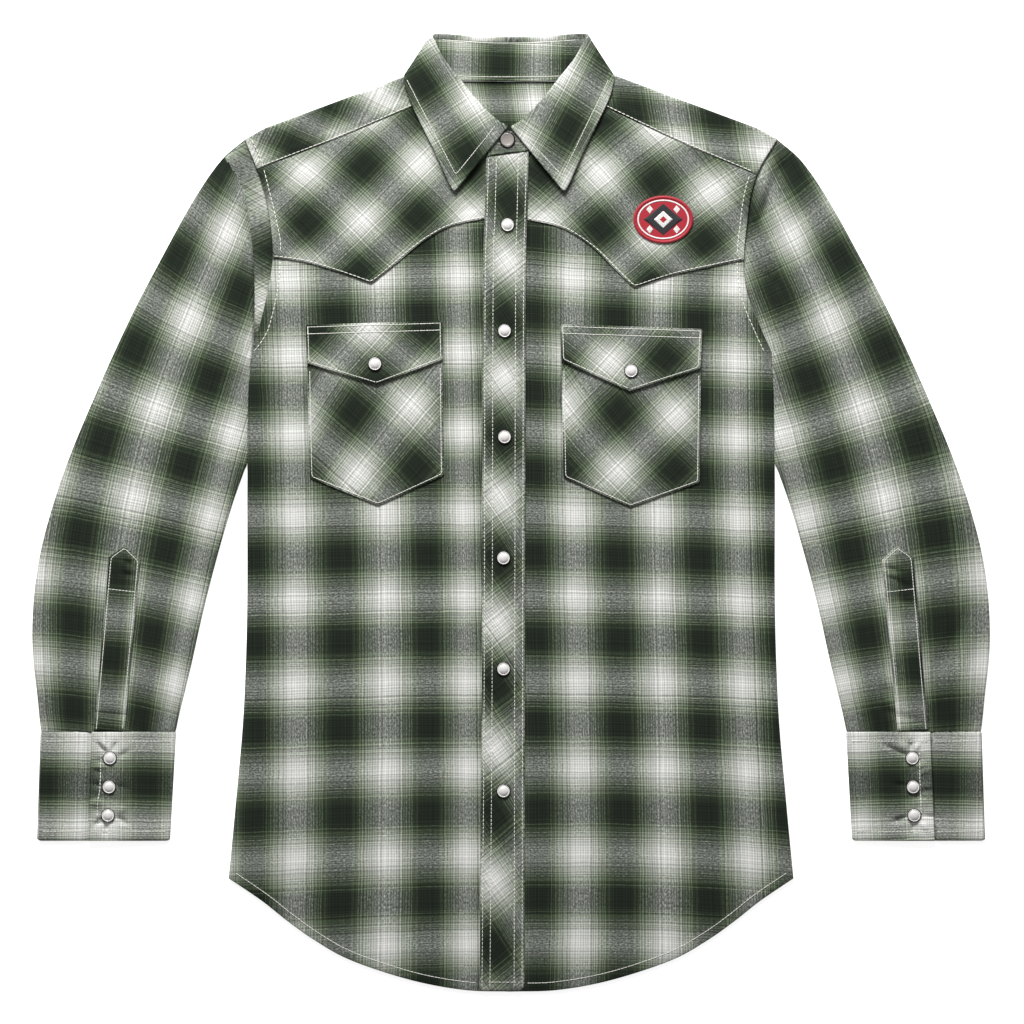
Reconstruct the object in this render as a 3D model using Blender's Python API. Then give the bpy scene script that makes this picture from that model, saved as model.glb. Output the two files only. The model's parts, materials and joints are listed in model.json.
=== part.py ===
"""A long-sleeved western snap shirt, laid flat on a table with its front up.

Axes: X to the wearer's left, Y towards the collar, Z up from the table. The origin is the middle of
the footprint, on the table. Every size below is in millimetres, and meshes are scaled to metres.

The cloth lies in layers. The back, the undersides of the sleeves and the collar's fall touch the
table. One height field, lift(), gives the underside of the whole upper layer, fronts and sleeves
alike, and each piece that is sewn on top follows it, one cloth and one gap higher.
"""

import math

import bpy
import numpy as np

MM = 0.001

# Cloth
CLOTH = 1.2  # one ply of napped flannel with its seam allowances
FUSED = 1.4  # yoke, collar, stand and cuffs: two plies and an interlining
GAP = 0.3  # between two pieces, at seams and from layer to layer
STEP = CLOTH + GAP  # from one sewn-on layer to the next
PUFF = 1.2  # how much higher the upper layer lies away from the edges
ROLL = 60.0  # how far from an edge the cloth reaches that height

SIDES = ("right", "left")  # the wearer's; the right one is at -X

# How finely the pieces are divided
BACK_ROWS, BACK_ARM_ROWS, BACK_COLUMNS = 12, 7, 13  # below the armpits, above them, across
FRONT_ROWS, FRONT_ARM_ROWS = 14, 9
FRONT_COLUMNS, FRONT_NECK_COLUMNS = 8, 5  # along the yoke's seam, along the neckline
NECK_COLUMNS = 9  # the yoke, along the back neck
SHOULDER_COLUMNS = 8  # the yoke, along a shoulder
YOKE_ROWS, YOKE_FRONT_ROWS = 6, 4  # behind and before the shoulder
PLACKET_ROWS = 34
SLEEVE_STATIONS, SLEEVE_COLUMNS = 22, 9
CUFF_ROWS = 4
BAND_COLUMNS = 4  # placket and sleeve plackets
PATCH_COLUMNS, POCKET_ROWS, FLAP_ROWS = 7, 7, 5
SNAP_SIDES, BADGE_SIDES = 14, 32

# The body: half widths and heights above or below the middle of the footprint
ARMPIT_Y = 137.6
SHOULDER = (  # the fold over the shoulder, from its tip to the corner of the neck
    (229.0, 321.0),
    (193.1, 336.8),
    (161.3, 348.6),
    (123.4, 362.3),
    (84.0, 375.7),
)
CENTRE_X = -5.0  # the fronts meet here, under the placket
COLLAR_X = -1.7  # the collar's middle

# Side seam, from the armpit to the hem's corner
SIDE = (  # half width, y
    (223.8, 137.6),
    (225.8, 96.0),
    (226.6, 27.5),
    (226.6, -75.0),
    (228.4, -144.5),
    (231.0, -190.0),
    (235.5, -240.0),
    (240.0, -288.0),
    (242.6, -315.0),
)

# Shirt-tail hem, from the side to the middle
HEM = (  # half width, y
    (242.6, -315.0),
    (214.0, -334.0),
    (192.5, -351.0),
    (168.5, -368.0),
    (137.6, -385.0),
    (86.0, -402.0),
    (40.0, -410.5),
    (0.0, -411.9),
)

# Armhole seam on the front, from the armpit to the shoulder tip
ARMHOLE = (  # y, half width on the right, half width on the left
    (137.6, 224.0, 224.0),
    (158.0, 216.6, 214.5),
    (188.3, 209.4, 202.8),
    (218.4, 204.7, 200.1),
    (245.5, 206.3, 202.4),
    (272.0, 211.0, 206.0),
    (295.0, 218.3, 213.5),
    (321.0, 229.0, 229.0),
)
FORWARD_SEAM_Y = {"right": 295.0, "left": 290.0}  # where it meets the armhole

# Neckline of the front, from the shoulder seam to the middle, as distances from COLLAR_X
NECKLINE = (  # distance, y
    (70.3, 354.5),
    (56.3, 336.0),
    (38.3, 318.0),
    (19.0, 308.0),
    (3.0, 306.4),
)
BACK_NECK = (  # distance from COLLAR_X, y
    (82.3, 375.7),
    (60.3, 371.8),
    (40.0, 370.3),
    (0.0, 370.0),
)
BACK_SEAM_Y = 245.0  # the back yoke's lower edge at the armhole
BACK_POINT = 38.0  # how much lower its middle is

# Sleeve: the two edges of the flattened tube, from the armhole to the cuff
SLEEVE = (  # outer x, outer y, inner x, inner y
    (230.2, 320.6, 225.2, 137.0),
    (252.0, 300.8, 226.6, 113.0),
    (275.0, 266.8, 227.3, 85.0),
    (302.0, 217.5, 227.8, 55.0),
    (329.0, 165.0, 230.8, 35.0),
    (360.0, 96.3, 240.0, 6.0),
    (387.4, 27.5, 252.5, -37.0),
    (406.3, -41.3, 264.8, -85.0),
    (412.0, -105.0, 275.0, -131.0),
    (407.2, -161.7, 284.5, -170.0),
    (404.4, -189.0, 288.5, -189.0),
)

# Cuff: a band that goes round once and laps over its own end
CUFF_TOP_Y, CUFF_HEM_Y = -189.4, -282.1
CUFF_INNER_X = (288.5, 293.7)  # at the sleeve, at the hem
CUFF_OUTER_X = (404.2, 407.2)
CUFF_ROUTE = (  # part of the width from the inner edge, height of the middle of the wall
    (0.620, 4.5),
    (0.500, 4.5),
    (0.400, 4.4),
    (0.250, 3.6),
    (0.030, 2.9),
    (0.008, 2.5),
    (0.006, 1.3),
    (0.030, 0.7),
    (0.350, 0.7),
    (0.650, 0.7),
    (0.975, 0.7),
    (0.994, 1.2),
    (0.994, 2.1),
    (0.975, 2.6),
    (0.800, 2.7),
    (0.620, 2.6),
    (0.450, 2.5),
)

# Sleeve placket, a tower with a pointed top
TOWER = (  # outer x, outer y, inner x, inner y
    (332.8, -29.6, 331.4, -29.6),
    (345.4, -38.4, 319.1, -41.6),
    (347.2, -59.0, 321.0, -62.0),
    (351.6, -110.0, 325.6, -111.0),
    (355.0, -150.0, 329.2, -150.0),
    (358.5, -188.8, 332.5, -188.8),
)

# Front yokes: lower edge, from the armhole to the point, then to the placket
YOKE_OUTER = {
    "right": ((-204.5, 218.9), (-178.4, 215.3), (-153.0, 208.1), (-120.0, 196.6)),
    "left": ((199.9, 217.2), (171.1, 211.0), (138.2, 203.6), (105.8, 192.9)),
}
YOKE_INNER = {
    "right": ((-120.0, 196.6), (-99.0, 213.8), (-67.2, 238.4), (-48.1, 247.2), (-14.0, 254.0)),
    "left": ((105.8, 192.9), (88.8, 209.4), (52.6, 239.9), (36.2, 246.8), (6.0, 253.0)),
}

# Placket: its two edges, from the stand to the hem
PLACKET = (  # y on the right, x of the right edge, y on the left, x of the left edge
    (305.2, -21.1, 310.0, 15.0),
    (255.0, -22.4, 255.0, 13.8),
    (182.0, -24.1, 182.0, 12.5),
    (-150.0, -24.9, -150.0, 11.7),
    (-334.0, -26.2, -334.0, 11.4),
    (-411.0, -26.8, -411.0, 11.2),
)
PLACKET_DROP_Y = (252.0, 215.0)  # it comes down from the yokes to the fronts here
PLACKET_SNAPS = (  # x, y
    (-3.0, 246.8),
    (-5.6, 155.7),
    (-5.6, 64.5),
    (-6.5, -39.6),
    (-6.5, -135.0),
    (-6.5, -239.9),
)
STAND_SNAP = (-3.2, 320.0)

# Chest pockets and their flaps: corners as x, y
POCKET = {
    "right": {
        "top": ((-175.6, 156.5), (-59.6, 159.8)),
        "bottom": ((-172.9, 29.4), (-114.3, 5.7), (-58.1, 31.6)),
    },
    "left": {
        "top": ((43.2, 157.0), (163.6, 153.0)),
        "bottom": ((45.3, 29.7), (102.8, 4.3), (162.0, 25.4)),
    },
}
FLAP = {
    "right": {
        "top": ((-176.4, 160.6), (-59.3, 164.0)),
        "bottom": ((-175.4, 128.1), (-115.8, 109.6), (-58.8, 131.0)),
        "snap": (-117.0, 127.3),
    },
    "left": {
        "top": ((42.8, 161.2), (164.3, 157.1)),
        "bottom": ((43.4, 130.4), (102.1, 103.9), (162.7, 123.4)),
        "snap": (103.2, 121.3),
    },
}
FLAP_TIP_LIFT, FLAP_TIP_LENGTH = 0.8, 15.0

# Cuff snaps: x and y on the wearer's left
CUFF_SNAPS = ((345.0, -211.6), (345.7, -236.5), (346.6, -260.8))

# Badge sewn on the left yoke
BADGE_CENTRE = (130.8, 251.4)
BADGE_HALF = (25.8, 20.6)

# A snap cap: a pearl in a metal rim
SNAP = (  # radius, height above its seat
    (5.7, 0.0),
    (5.9, 0.7),
    (5.0, 1.6),
    (3.6, 2.3),
    (1.8, 2.7),
)

# Collar, from the middle of the back round to one front edge. The stand and the leaf lie on the two
# sides of one line that turns over at the shoulder. "turn" is the angle of the leaf's side of that
# line: -90 faces the table, 90 faces up.
COLLAR = (  # roll x, roll y, stand x, stand y, leaf x, leaf y, turn
    (0.0, 407.3, 0.0, 368.8, 0.0, 370.9, -90),
    (20.0, 407.6, 20.0, 368.8, 20.0, 371.0, -90),
    (40.0, 408.6, 41.0, 369.4, 41.0, 371.4, -90),
    (53.0, 409.3, 60.0, 371.8, 60.0, 373.2, -90),
    (61.4, 409.4, 80.6, 378.6, 81.6, 378.3, -90),
    (61.4, 409.4, 80.6, 378.6, 81.6, 378.3, -40),
    (61.4, 409.4, 80.6, 378.6, 81.6, 378.3, 0),
    (61.4, 409.4, 80.6, 378.6, 81.6, 378.3, 45),
    (61.4, 409.4, 80.6, 378.6, 86.2, 374.4, 90),
    (56.0, 389.0, 78.0, 370.2, 85.6, 357.5, 90),
    (41.7, 369.2, 66.0, 350.6, 77.2, 337.6, 90),
    (27.4, 350.5, 51.6, 332.6, 62.9, 307.6, 90),
    (13.2, 336.2, 33.6, 317.2, 52.2, 284.1, 90),
    (2.6, 329.4, 13.6, 310.4, 47.2, 275.2, 90),
)
COLLAR_SIDE = (0.85, 0.53)  # outward direction of the leaf at the shoulder
STAND_RADIUS = 1.0  # of the stand, round the line that turns over
COLLAR_SEAM = 2.8  # from the roll to the seam between leaf and stand
TURN_Z = 3.4  # height of that line at the back and at the shoulder
FALL_Z = 6.1  # how far the leaf lies beyond it there, counted from the table
# Heights from the shoulder to the front edge, one row for each of the last six rows of COLLAR
COLLAR_FRONT = {  # height of the turned line, of the leaf at the roll, of the leaf's outer edge
    "right": (
        (3.4, 6.1, 6.1),
        (3.5, 6.7, 6.3),
        (3.6, 7.3, 6.5),
        (3.7, 8.0, 6.9),
        (3.8, 8.6, 7.3),
        (3.8, 8.8, 7.9),
    ),
    "left": (
        (3.4, 6.1, 6.1),
        (3.7, 6.9, 6.3),
        (4.1, 7.7, 6.5),
        (4.7, 8.5, 7.0),
        (5.3, 9.2, 7.6),
        (5.6, 9.4, 8.1),
    ),
}
# The stand's ends past the leaf, across the middle front
STAND_END = {  # top x, top y, bottom x, bottom y
    "right": ((-3.0, 326.5, -3.0, 309.6), (-13.0, 324.5, -13.0, 311.8)),
    "left": ((-3.4, 327.8, -2.0, 308.6), (-13.6, 325.0, -18.4, 306.2)),
}

# Broad soft folds in the upper layer of a sleeve: ends, half width of the fold, height
FOLDS = (  # x, y, x, y, spread, rise
    (238.0, 300.0, 226.0, 235.0, 13.0, -0.8),
    (262.0, 282.0, 246.0, 190.0, 15.0, 0.8),
    (228.0, 215.0, 240.0, 150.0, 12.0, -0.6),
    (262.0, 120.0, 300.0, 60.0, 15.0, 0.5),
    (292.0, 40.0, 330.0, 5.0, 14.0, -0.5),
    (376.0, 0.0, 388.0, -70.0, 14.0, 0.5),
    (290.0, -120.0, 312.0, -165.0, 12.0, -0.5),
)


# ---------------------------------------------------------------- curves and surfaces


def smooth(t):
    """0 to 1 with level ends."""
    t = np.clip(t, 0.0, 1.0)
    return t * t * (3.0 - 2.0 * t)


def curve(rows, count):
    """Evenly spaced points along a Catmull-Rom curve through the rows."""
    points = np.asarray(rows, float)
    padded = np.vstack([2 * points[0] - points[1], points, 2 * points[-1] - points[-2]])
    t = np.linspace(0, 1, 25)[:, None]
    pieces = []
    for a, b, c, d in zip(padded, padded[1:], padded[2:], padded[3:]):
        bend = 2 * a - 5 * b + 4 * c - d
        twist = 3 * b - a - 3 * c + d
        pieces.append(0.5 * (2 * b + (c - a) * t + bend * t**2 + twist * t**3))
    return resample(np.vstack(pieces), count)


def resample(points, count):
    """The same polyline with evenly spaced points."""
    along = np.r_[0, np.cumsum(np.linalg.norm(np.diff(points, axis=0), axis=1))]
    wanted = np.linspace(0, along[-1], count)
    return np.stack([np.interp(wanted, along, column) for column in points.T], axis=1)


def joined(*pieces):
    """Polylines end to end, each joint kept once."""
    return np.vstack([pieces[0]] + [piece[1:] for piece in pieces[1:]])


def coons(bottom, top, left, right):
    """A grid of points that fills the patch between four edges."""
    s = np.linspace(0, 1, len(bottom))[None, :, None]
    t = np.linspace(0, 1, len(left))[:, None, None]
    across = (1 - s) * left[:, None] + s * right[:, None]
    along = (1 - t) * bottom[None] + t * top[None]
    low, high = (1 - s) * bottom[0] + s * bottom[-1], (1 - s) * top[0] + s * top[-1]
    return across + along - (1 - t) * low - t * high


def mirrored(points, side):
    """A half table's points on the wearer's right (-X) or left (+X)."""
    points = np.array(points, float)
    points[..., 0] *= -1 if side == "right" else 1
    return points


def unit(vector):
    return vector / np.linalg.norm(vector)


def distance_to_line(x, y, line):
    """Distance from each point to the nearest place on a polyline."""
    px, py = np.asarray(x, float)[..., None], np.asarray(y, float)[..., None]
    ax, ay = line[:-1, 0], line[:-1, 1]
    dx, dy = np.diff(line[:, 0]), np.diff(line[:, 1])
    t = np.clip(((px - ax) * dx + (py - ay) * dy) / (dx**2 + dy**2), 0, 1)
    return np.hypot(px - ax - t * dx, py - ay - t * dy).min(axis=-1)


# ---------------------------------------------------------------- the shirt's lines


def armhole_x(side, y):
    """Half width of the armhole seam at a height."""
    rows = np.array(ARMHOLE)
    line = curve(rows[:, [1 if side == "right" else 2, 0]], 120)
    return np.interp(y, line[:, 1], line[:, 0])


def armhole(side, low, high, count, clear=0.0):
    """The armhole seam between two heights, moved out by clear."""
    y = np.linspace(low, high, count)
    return mirrored(np.stack([armhole_x(side, y) + clear, y], axis=1), side)


def forward_seam(side, count, clear=0.0):
    """The seam between yoke and front, from the armhole to the neckline."""
    y = FORWARD_SEAM_Y[side]
    start = mirrored((armhole_x(side, y), y), side)
    end = neckline(side, 2)[0]
    bend = start + 0.5 * (end - start) + (0, -1.5)
    return curve([start, bend, end], count) + (0, clear)


def neckline(side, count, last=None):
    """The front neckline, from the shoulder seam towards the middle."""
    line = mirrored(curve(NECKLINE, 60), side) + (COLLAR_X, 0)
    if last is not None:
        line = line[line[:, 0] < last] if side == "right" else line[line[:, 0] > last]
    return resample(line, count)


def outline():
    """Both halves of the shirt's edge, as polylines: where the upper layer comes down."""
    half = [
        curve(SHOULDER, 20),
        curve([row[:2] for row in SLEEVE], 60),
        curve([row[2:] for row in SLEEVE], 60),
        curve(SIDE, 40),
        curve(HEM, 40),
    ]
    return [mirrored(line, side) for line in half for side in SIDES]


OUTLINE = outline()


def fold_height(x, y):
    """What the soft folds of the sleeves add, a rounded ridge or trough along each one's line."""
    height = np.zeros_like(x)
    for x0, y0, x1, y1, spread, rise in FOLDS:
        line = np.array([(x0, y0), (x1, y1)])
        height += rise * np.exp(-((distance_to_line(np.abs(x), y, line) / spread) ** 2))
    return height


def lift(x, y):
    """Height of the underside of the upper layer: low at every edge, puffed out between them."""
    x, y = np.asarray(x, float), np.asarray(y, float)
    edge = np.min([distance_to_line(x, y, line) for line in OUTLINE], axis=0)
    return STEP + smooth(edge / ROLL) * (PUFF + fold_height(x, y))


def laid(grid, layer):
    """Grid points in space, in the middle of the layer-th ply of the upper cloth."""
    height = lift(grid[..., 0], grid[..., 1]) + CLOTH / 2 + STEP * layer
    return np.concatenate([grid, height[..., None]], axis=-1)


# ---------------------------------------------------------------- solids


def material(name, colour, roughness, metallic=0.0):
    """A plain Principled material."""
    made = bpy.data.materials.new(name)
    made.use_nodes = True
    shader = made.node_tree.nodes["Principled BSDF"]
    shader.inputs["Base Color"].default_value = (*colour, 1.0)
    shader.inputs["Roughness"].default_value = roughness
    shader.inputs["Metallic"].default_value = metallic
    return made


def add_solid(name, points, faces, finish):
    """One object from points in millimetres, its faces turned to point out."""
    points = np.asarray(points, float)
    halves = [face[:3] for face in faces] + [(f[0], f[2], f[3]) for f in faces if len(f) == 4]
    if np.linalg.det(points[np.array(halves)]).sum() < 0:
        faces = [face[::-1] for face in faces]
    mesh = bpy.data.meshes.new(name)
    mesh.from_pydata((points * MM).tolist(), [], faces)
    mesh.materials.append(finish)
    mesh.shade_smooth()
    mesh.set_sharp_from_angle(angle=math.radians(50))
    solid = bpy.data.objects.new(name, mesh)
    bpy.context.scene.collection.objects.link(solid)
    return solid


def grid_cells(points, around):
    """Quads of a grid of points, leaving out any with a missing corner."""
    rows, columns = points.shape[:2]
    index = np.arange(rows * columns).reshape(rows, columns)
    right = np.roll(index, -1, axis=1)
    quads = np.stack([index[:-1], right[:-1], right[1:], index[1:]], axis=-1)
    quads = quads if around else quads[:, :-1]
    quads = quads.reshape(-1, 4)
    whole = np.isfinite(points.reshape(-1, 3)[quads]).all(axis=(1, 2))
    return quads[whole]


def wall(name, points, thickness, finish, around=False):
    """A closed wall whose middle runs through a grid of points. With around, each row is a ring."""
    quads = grid_cells(points, around)
    used = np.unique(quads)
    flat = points.reshape(-1, 3)
    renumber = np.full(len(flat), -1)
    renumber[used] = np.arange(len(used))
    quads, flat = renumber[quads], flat[used]

    a, b, c, d = (flat[quads[:, k]] for k in range(4))
    facing = np.cross(c - a, d - b)
    normals = np.zeros_like(flat)
    for k in range(4):
        np.add.at(normals, quads[:, k], facing)
    normals /= np.linalg.norm(normals, axis=1, keepdims=True)

    ends = np.concatenate([quads[:, [k, (k + 1) % 4]] for k in range(4)])
    size = len(flat)
    codes, reverse = ends[:, 0] * size + ends[:, 1], ends[:, 1] * size + ends[:, 0]
    rim = ends[~np.isin(codes, reverse)]

    both = np.concatenate([flat + normals * thickness / 2, flat - normals * thickness / 2])
    faces = [tuple(quad) for quad in quads.tolist()]
    faces += [tuple(size + k for k in quad[::-1]) for quad in quads.tolist()]
    faces += [(p, size + p, size + q, q) for p, q in rim.tolist()]
    return add_solid(name, both, faces, finish)


def turned(name, centre, seat, profile, sides, finish, stretch=(1.0, 1.0)):
    """A turned solid on a flat seat: rings from a profile of radius and height, closed by two centres."""
    angles = np.arange(sides) * 2 * math.pi / sides
    points = [(centre[0], centre[1], seat + profile[0][1])]
    for radius, height in profile:
        for angle in angles:
            x = centre[0] + radius * stretch[0] * math.cos(angle)
            y = centre[1] + radius * stretch[1] * math.sin(angle)
            points.append((x, y, seat + height))
    points.append((centre[0], centre[1], seat + profile[-1][1] + 0.1))
    faces = []
    last = len(points) - 1
    for k in range(sides):
        n = (k + 1) % sides
        faces.append((0, 1 + n, 1 + k))
        for ring in range(len(profile) - 1):
            low, high = 1 + ring * sides, 1 + (ring + 1) * sides
            faces.append((low + k, low + n, high + n, high + k))
        top = 1 + (len(profile) - 1) * sides
        faces.append((top + k, top + n, last))
    return add_solid(name, points, faces, finish)


# ---------------------------------------------------------------- body


def body_side(side, rows_below, rows_above, top_y):
    """Side seam and armhole as one edge, from the hem's corner to a height on the armhole."""
    seam = mirrored(curve(SIDE, rows_below), side)[::-1]
    return joined(seam, armhole(side, ARMPIT_Y, top_y, rows_above, -0.3))


def make_back(finish):
    """The back panel, flat on the table, below the back yoke's pointed seam."""
    edges = [body_side(side, BACK_ROWS, BACK_ARM_ROWS, BACK_SEAM_Y - GAP) for side in SIDES]
    hem = curve(HEM, (BACK_COLUMNS + 1) // 2)
    bottom = joined(mirrored(hem, "right"), mirrored(hem[::-1], "left"))
    top = back_yoke_edge(BACK_COLUMNS, -GAP)
    top[0], top[-1] = edges[0][-1], edges[1][-1]
    grid = coons(bottom, top, *edges)
    height = np.full(grid.shape[:2] + (1,), CLOTH / 2)
    wall("back", np.concatenate([grid, height], axis=-1), CLOTH, finish)


def back_yoke_edge(columns, shift=0.0):
    """The seam between back and yoke: level at the armholes, lower in the middle."""
    ends = [armhole(side, BACK_SEAM_Y, BACK_SEAM_Y, 1, -GAP)[0, 0] for side in SIDES]
    x = np.linspace(*ends, columns)
    y = BACK_SEAM_Y + shift - BACK_POINT * (1 - np.abs(np.linspace(-1, 1, columns)))
    return np.stack([x, y], axis=1)


def make_yoke(finish):
    """The yoke: flat under the shoulders, folding over each shoulder down to the forward seam.

    Its grid has a column for each place across the shoulders. Columns at the neck stop at the neckline.
    """
    fold_z = STEP + CLOTH / 2 + STEP  # of the upper part, at the fold
    radius = (fold_z - FUSED / 2) / 2
    arc = np.radians([-90, -45, 0, 45, 90])

    axis, outward = {}, {}
    for side in SIDES:
        fold = mirrored(curve(SHOULDER, SHOULDER_COLUMNS), side)
        along = unit(fold[-1] - fold[0])
        normal = np.array([-along[1], along[0]])
        outward[side] = normal * np.sign(normal[1])
        axis[side] = fold - outward[side] * (radius + FUSED / 2)
    half = curve(BACK_NECK, (NECK_COLUMNS + 3) // 2)[1:]
    neck = [mirrored(half, side) + (COLLAR_X, 0) for side in SIDES]
    top = np.vstack([axis["right"], neck[0], neck[1][-2::-1], axis["left"][::-1]])
    columns = len(top)

    bottom = back_yoke_edge(columns)
    edges = []
    for side, end in zip(SIDES, (top[0], top[-1])):
        edge = armhole(side, BACK_SEAM_Y, end[1], YOKE_ROWS, -GAP)
        edge[-1] = end
        edges.append(edge)
    bottom[0], bottom[-1] = edges[0][0], edges[1][0]
    back = coons(bottom, top, *edges)
    back = np.concatenate([back, np.full(back.shape[:2] + (1,), FUSED / 2)], axis=-1)

    upper = np.full((len(arc) - 1 + YOKE_FRONT_ROWS, columns, 3), np.nan)
    for side in SIDES:
        across = np.arange(SHOULDER_COLUMNS)  # from the armhole to the neck
        across = across if side == "right" else columns - 1 - across
        line, seam = axis[side], forward_seam(side, SHOULDER_COLUMNS, GAP)
        for row, angle in enumerate(arc[1:]):
            xy = line + outward[side] * radius * math.cos(angle)
            z = np.full(len(xy), FUSED / 2 + radius * (1 + math.sin(angle)))
            upper[row, across] = np.column_stack([xy, z])
        for row, t in enumerate(np.linspace(0, 1, YOKE_FRONT_ROWS + 1)[1:], len(arc) - 1):
            xy = (1 - t) * line + t * seam
            xy[0] = armhole(side, xy[0, 1], xy[0, 1], 1, -GAP)[0]
            z = lift(xy[:, 0], xy[:, 1]) + CLOTH / 2 + STEP
            upper[row, across] = np.column_stack([xy, z])
    wall("yoke", np.concatenate([back, upper]), FUSED, finish)


def make_front(side, finish):
    """One front, from the side seam to the middle, where the two meet under the placket."""
    middle = CENTRE_X + (-GAP / 2 if side == "right" else GAP / 2)
    top = joined(forward_seam(side, FRONT_COLUMNS), neckline(side, FRONT_NECK_COLUMNS))
    edge = body_side(side, FRONT_ROWS, FRONT_ARM_ROWS, top[0, 1])
    top[0] = edge[-1]
    top[-1, 0] = middle
    hem = mirrored(curve(HEM, 60), side)
    hem = hem[hem[:, 0] < middle] if side == "right" else hem[hem[:, 0] > middle]
    hem = resample(np.vstack([hem, (middle, hem[-1, 1])]), len(top))
    inner = np.linspace(hem[-1], top[-1], len(edge))
    grid = coons(hem, top, edge, inner)
    wall(f"front_{side}", laid(grid, 0), CLOTH, finish)


def make_front_yoke(side, finish):
    """The pointed yoke on a front, from the armhole to just under the placket's edge."""
    outer, inner = YOKE_OUTER[side], YOKE_INNER[side]
    last = inner[-1][0]
    top = joined(forward_seam(side, 13), neckline(side, 7, last))
    top[-1, 0] = last
    bottom = joined(curve(outer, 8), curve(inner, 12))
    edge = armhole(side, bottom[0, 1], top[0, 1], 6, -GAP)
    bottom[0], top[0] = edge[0], edge[-1]
    grid = coons(bottom, top, edge, np.linspace(bottom[-1], top[-1], len(edge)))
    wall(f"front_yoke_{side}", laid(grid, 1), CLOTH, finish)


def placket_layer(y):
    """How many plies the placket lies on: one over the fronts, two over the yokes."""
    low, high = PLACKET_DROP_Y[1], PLACKET_DROP_Y[0]
    return 1 + smooth((y - low) / (high - low))


def make_placket(finish):
    """The snap placket, a band from the stand to the hem."""
    rows = np.array(PLACKET)
    right, left = curve(rows[:, [1, 0]], PLACKET_ROWS), curve(rows[:, [3, 2]], PLACKET_ROWS)
    t = np.linspace(0, 1, BAND_COLUMNS)[None, :, None]
    grid = (1 - t) * right[:, None] + t * left[:, None]
    points = laid(grid, placket_layer(grid[..., 1]))
    wall("placket", points, CLOTH, finish)


# ---------------------------------------------------------------- sleeves


def sleeve_section(side, station, count):
    """Points across the flattened sleeve, from its outer to its inner edge, and its two end tangents."""
    rows = np.array(SLEEVE)
    outer = curve(rows[:, :2], SLEEVE_STATIONS)[station]
    inner = curve(rows[:, 2:], SLEEVE_STATIONS)[station]
    seam = armhole(side, SHOULDER[0][1], ARMPIT_Y, count, 2 * GAP)
    seam[:, 0] = np.abs(seam[:, 0])
    chord = np.linspace(seam[0], seam[-1], count)
    across = np.linspace(0, 1, count)[:, None]
    fade = (1 - station / (SLEEVE_STATIONS - 1)) ** (2 + 28 * across**2)
    return mirrored(np.linspace(outer, inner, count) + fade * (seam - chord), side)


def make_sleeve(side, finish):
    """A sleeve: a flattened tube through rings, from the armhole to the cuff."""
    low, high = CLOTH / 2, STEP + CLOTH / 2
    radius = (high - low) / 2
    inset = radius + CLOTH / 2
    rings = []
    for station in range(SLEEVE_STATIONS):
        line = sleeve_section(side, station, SLEEVE_COLUMNS)
        outer, inner = line[0], line[-1]
        out_way = (outer - line[1]) / np.linalg.norm(outer - line[1])
        in_way = (inner - line[-2]) / np.linalg.norm(inner - line[-2])
        line[0], line[-1] = outer - out_way * inset, inner - in_way * inset
        upper = np.column_stack([line, lift(line[:, 0], line[:, 1]) + CLOTH / 2])
        under = np.column_stack([line, np.full(len(line), low)])[::-1]
        turns = []
        for end, way, first in ((line[-1], in_way, 45), (line[0], out_way, -45)):
            arc = np.radians([first, 0, -first])[:, None]
            xy = end + way * radius * np.cos(arc)
            turns.append(np.column_stack([xy, low + radius * (1 + np.sin(arc))]))
        rings.append(np.vstack([upper, turns[0], under, turns[1]]))
    wall(f"sleeve_{side}", np.array(rings), CLOTH, finish, around=True)


def make_cuff(side, finish):
    """A cuff: a band that goes round once, its outer end lapped over its inner one."""
    rows = []
    for t in np.linspace(0, 1, CUFF_ROWS):
        inner = CUFF_INNER_X[0] + t * (CUFF_INNER_X[1] - CUFF_INNER_X[0])
        outer = CUFF_OUTER_X[0] + t * (CUFF_OUTER_X[1] - CUFF_OUTER_X[0])
        y = CUFF_TOP_Y + t * (CUFF_HEM_Y - CUFF_TOP_Y)
        rows.append([(inner + part * (outer - inner), y, z) for part, z in CUFF_ROUTE])
    wall(f"cuff_{side}", mirrored(rows, side), FUSED, finish)


def make_sleeve_placket(side, finish):
    """The tower placket on the sleeve, pointed at its top."""
    rows = np.array(TOWER)
    t = np.linspace(0, 1, BAND_COLUMNS)[None, :, None]
    grid = (1 - t) * rows[:, None, :2] + t * rows[:, None, 2:]
    wall(f"sleeve_placket_{side}", laid(mirrored(grid, side), 1), CLOTH, finish)


# ---------------------------------------------------------------- pockets


def pointed_patch(shape, rows):
    """A grid for a patch with a straight top and a pointed bottom."""
    top = np.linspace(*shape["top"], PATCH_COLUMNS)
    half = (PATCH_COLUMNS + 1) // 2
    corner, point, other = shape["bottom"]
    bottom = joined(np.linspace(corner, point, half), np.linspace(point, other, half))
    sides = [np.linspace(bottom[k], top[k], rows) for k in (0, -1)]
    return coons(bottom, top, *sides)


def make_pocket(side, finish):
    """A pointed patch pocket on a front."""
    wall(f"pocket_{side}", laid(pointed_patch(POCKET[side], POCKET_ROWS), 1), CLOTH, finish)


def make_flap(side, finish):
    """The pocket's pointed flap, its point a little raised."""
    points = laid(pointed_patch(FLAP[side], FLAP_ROWS), 2)
    point_y = FLAP[side]["bottom"][1][1]
    points[..., 2] += FLAP_TIP_LIFT * smooth(1 - (points[..., 1] - point_y) / FLAP_TIP_LENGTH)
    wall(f"flap_{side}", points, CLOTH, finish)


# ---------------------------------------------------------------- collar


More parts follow.
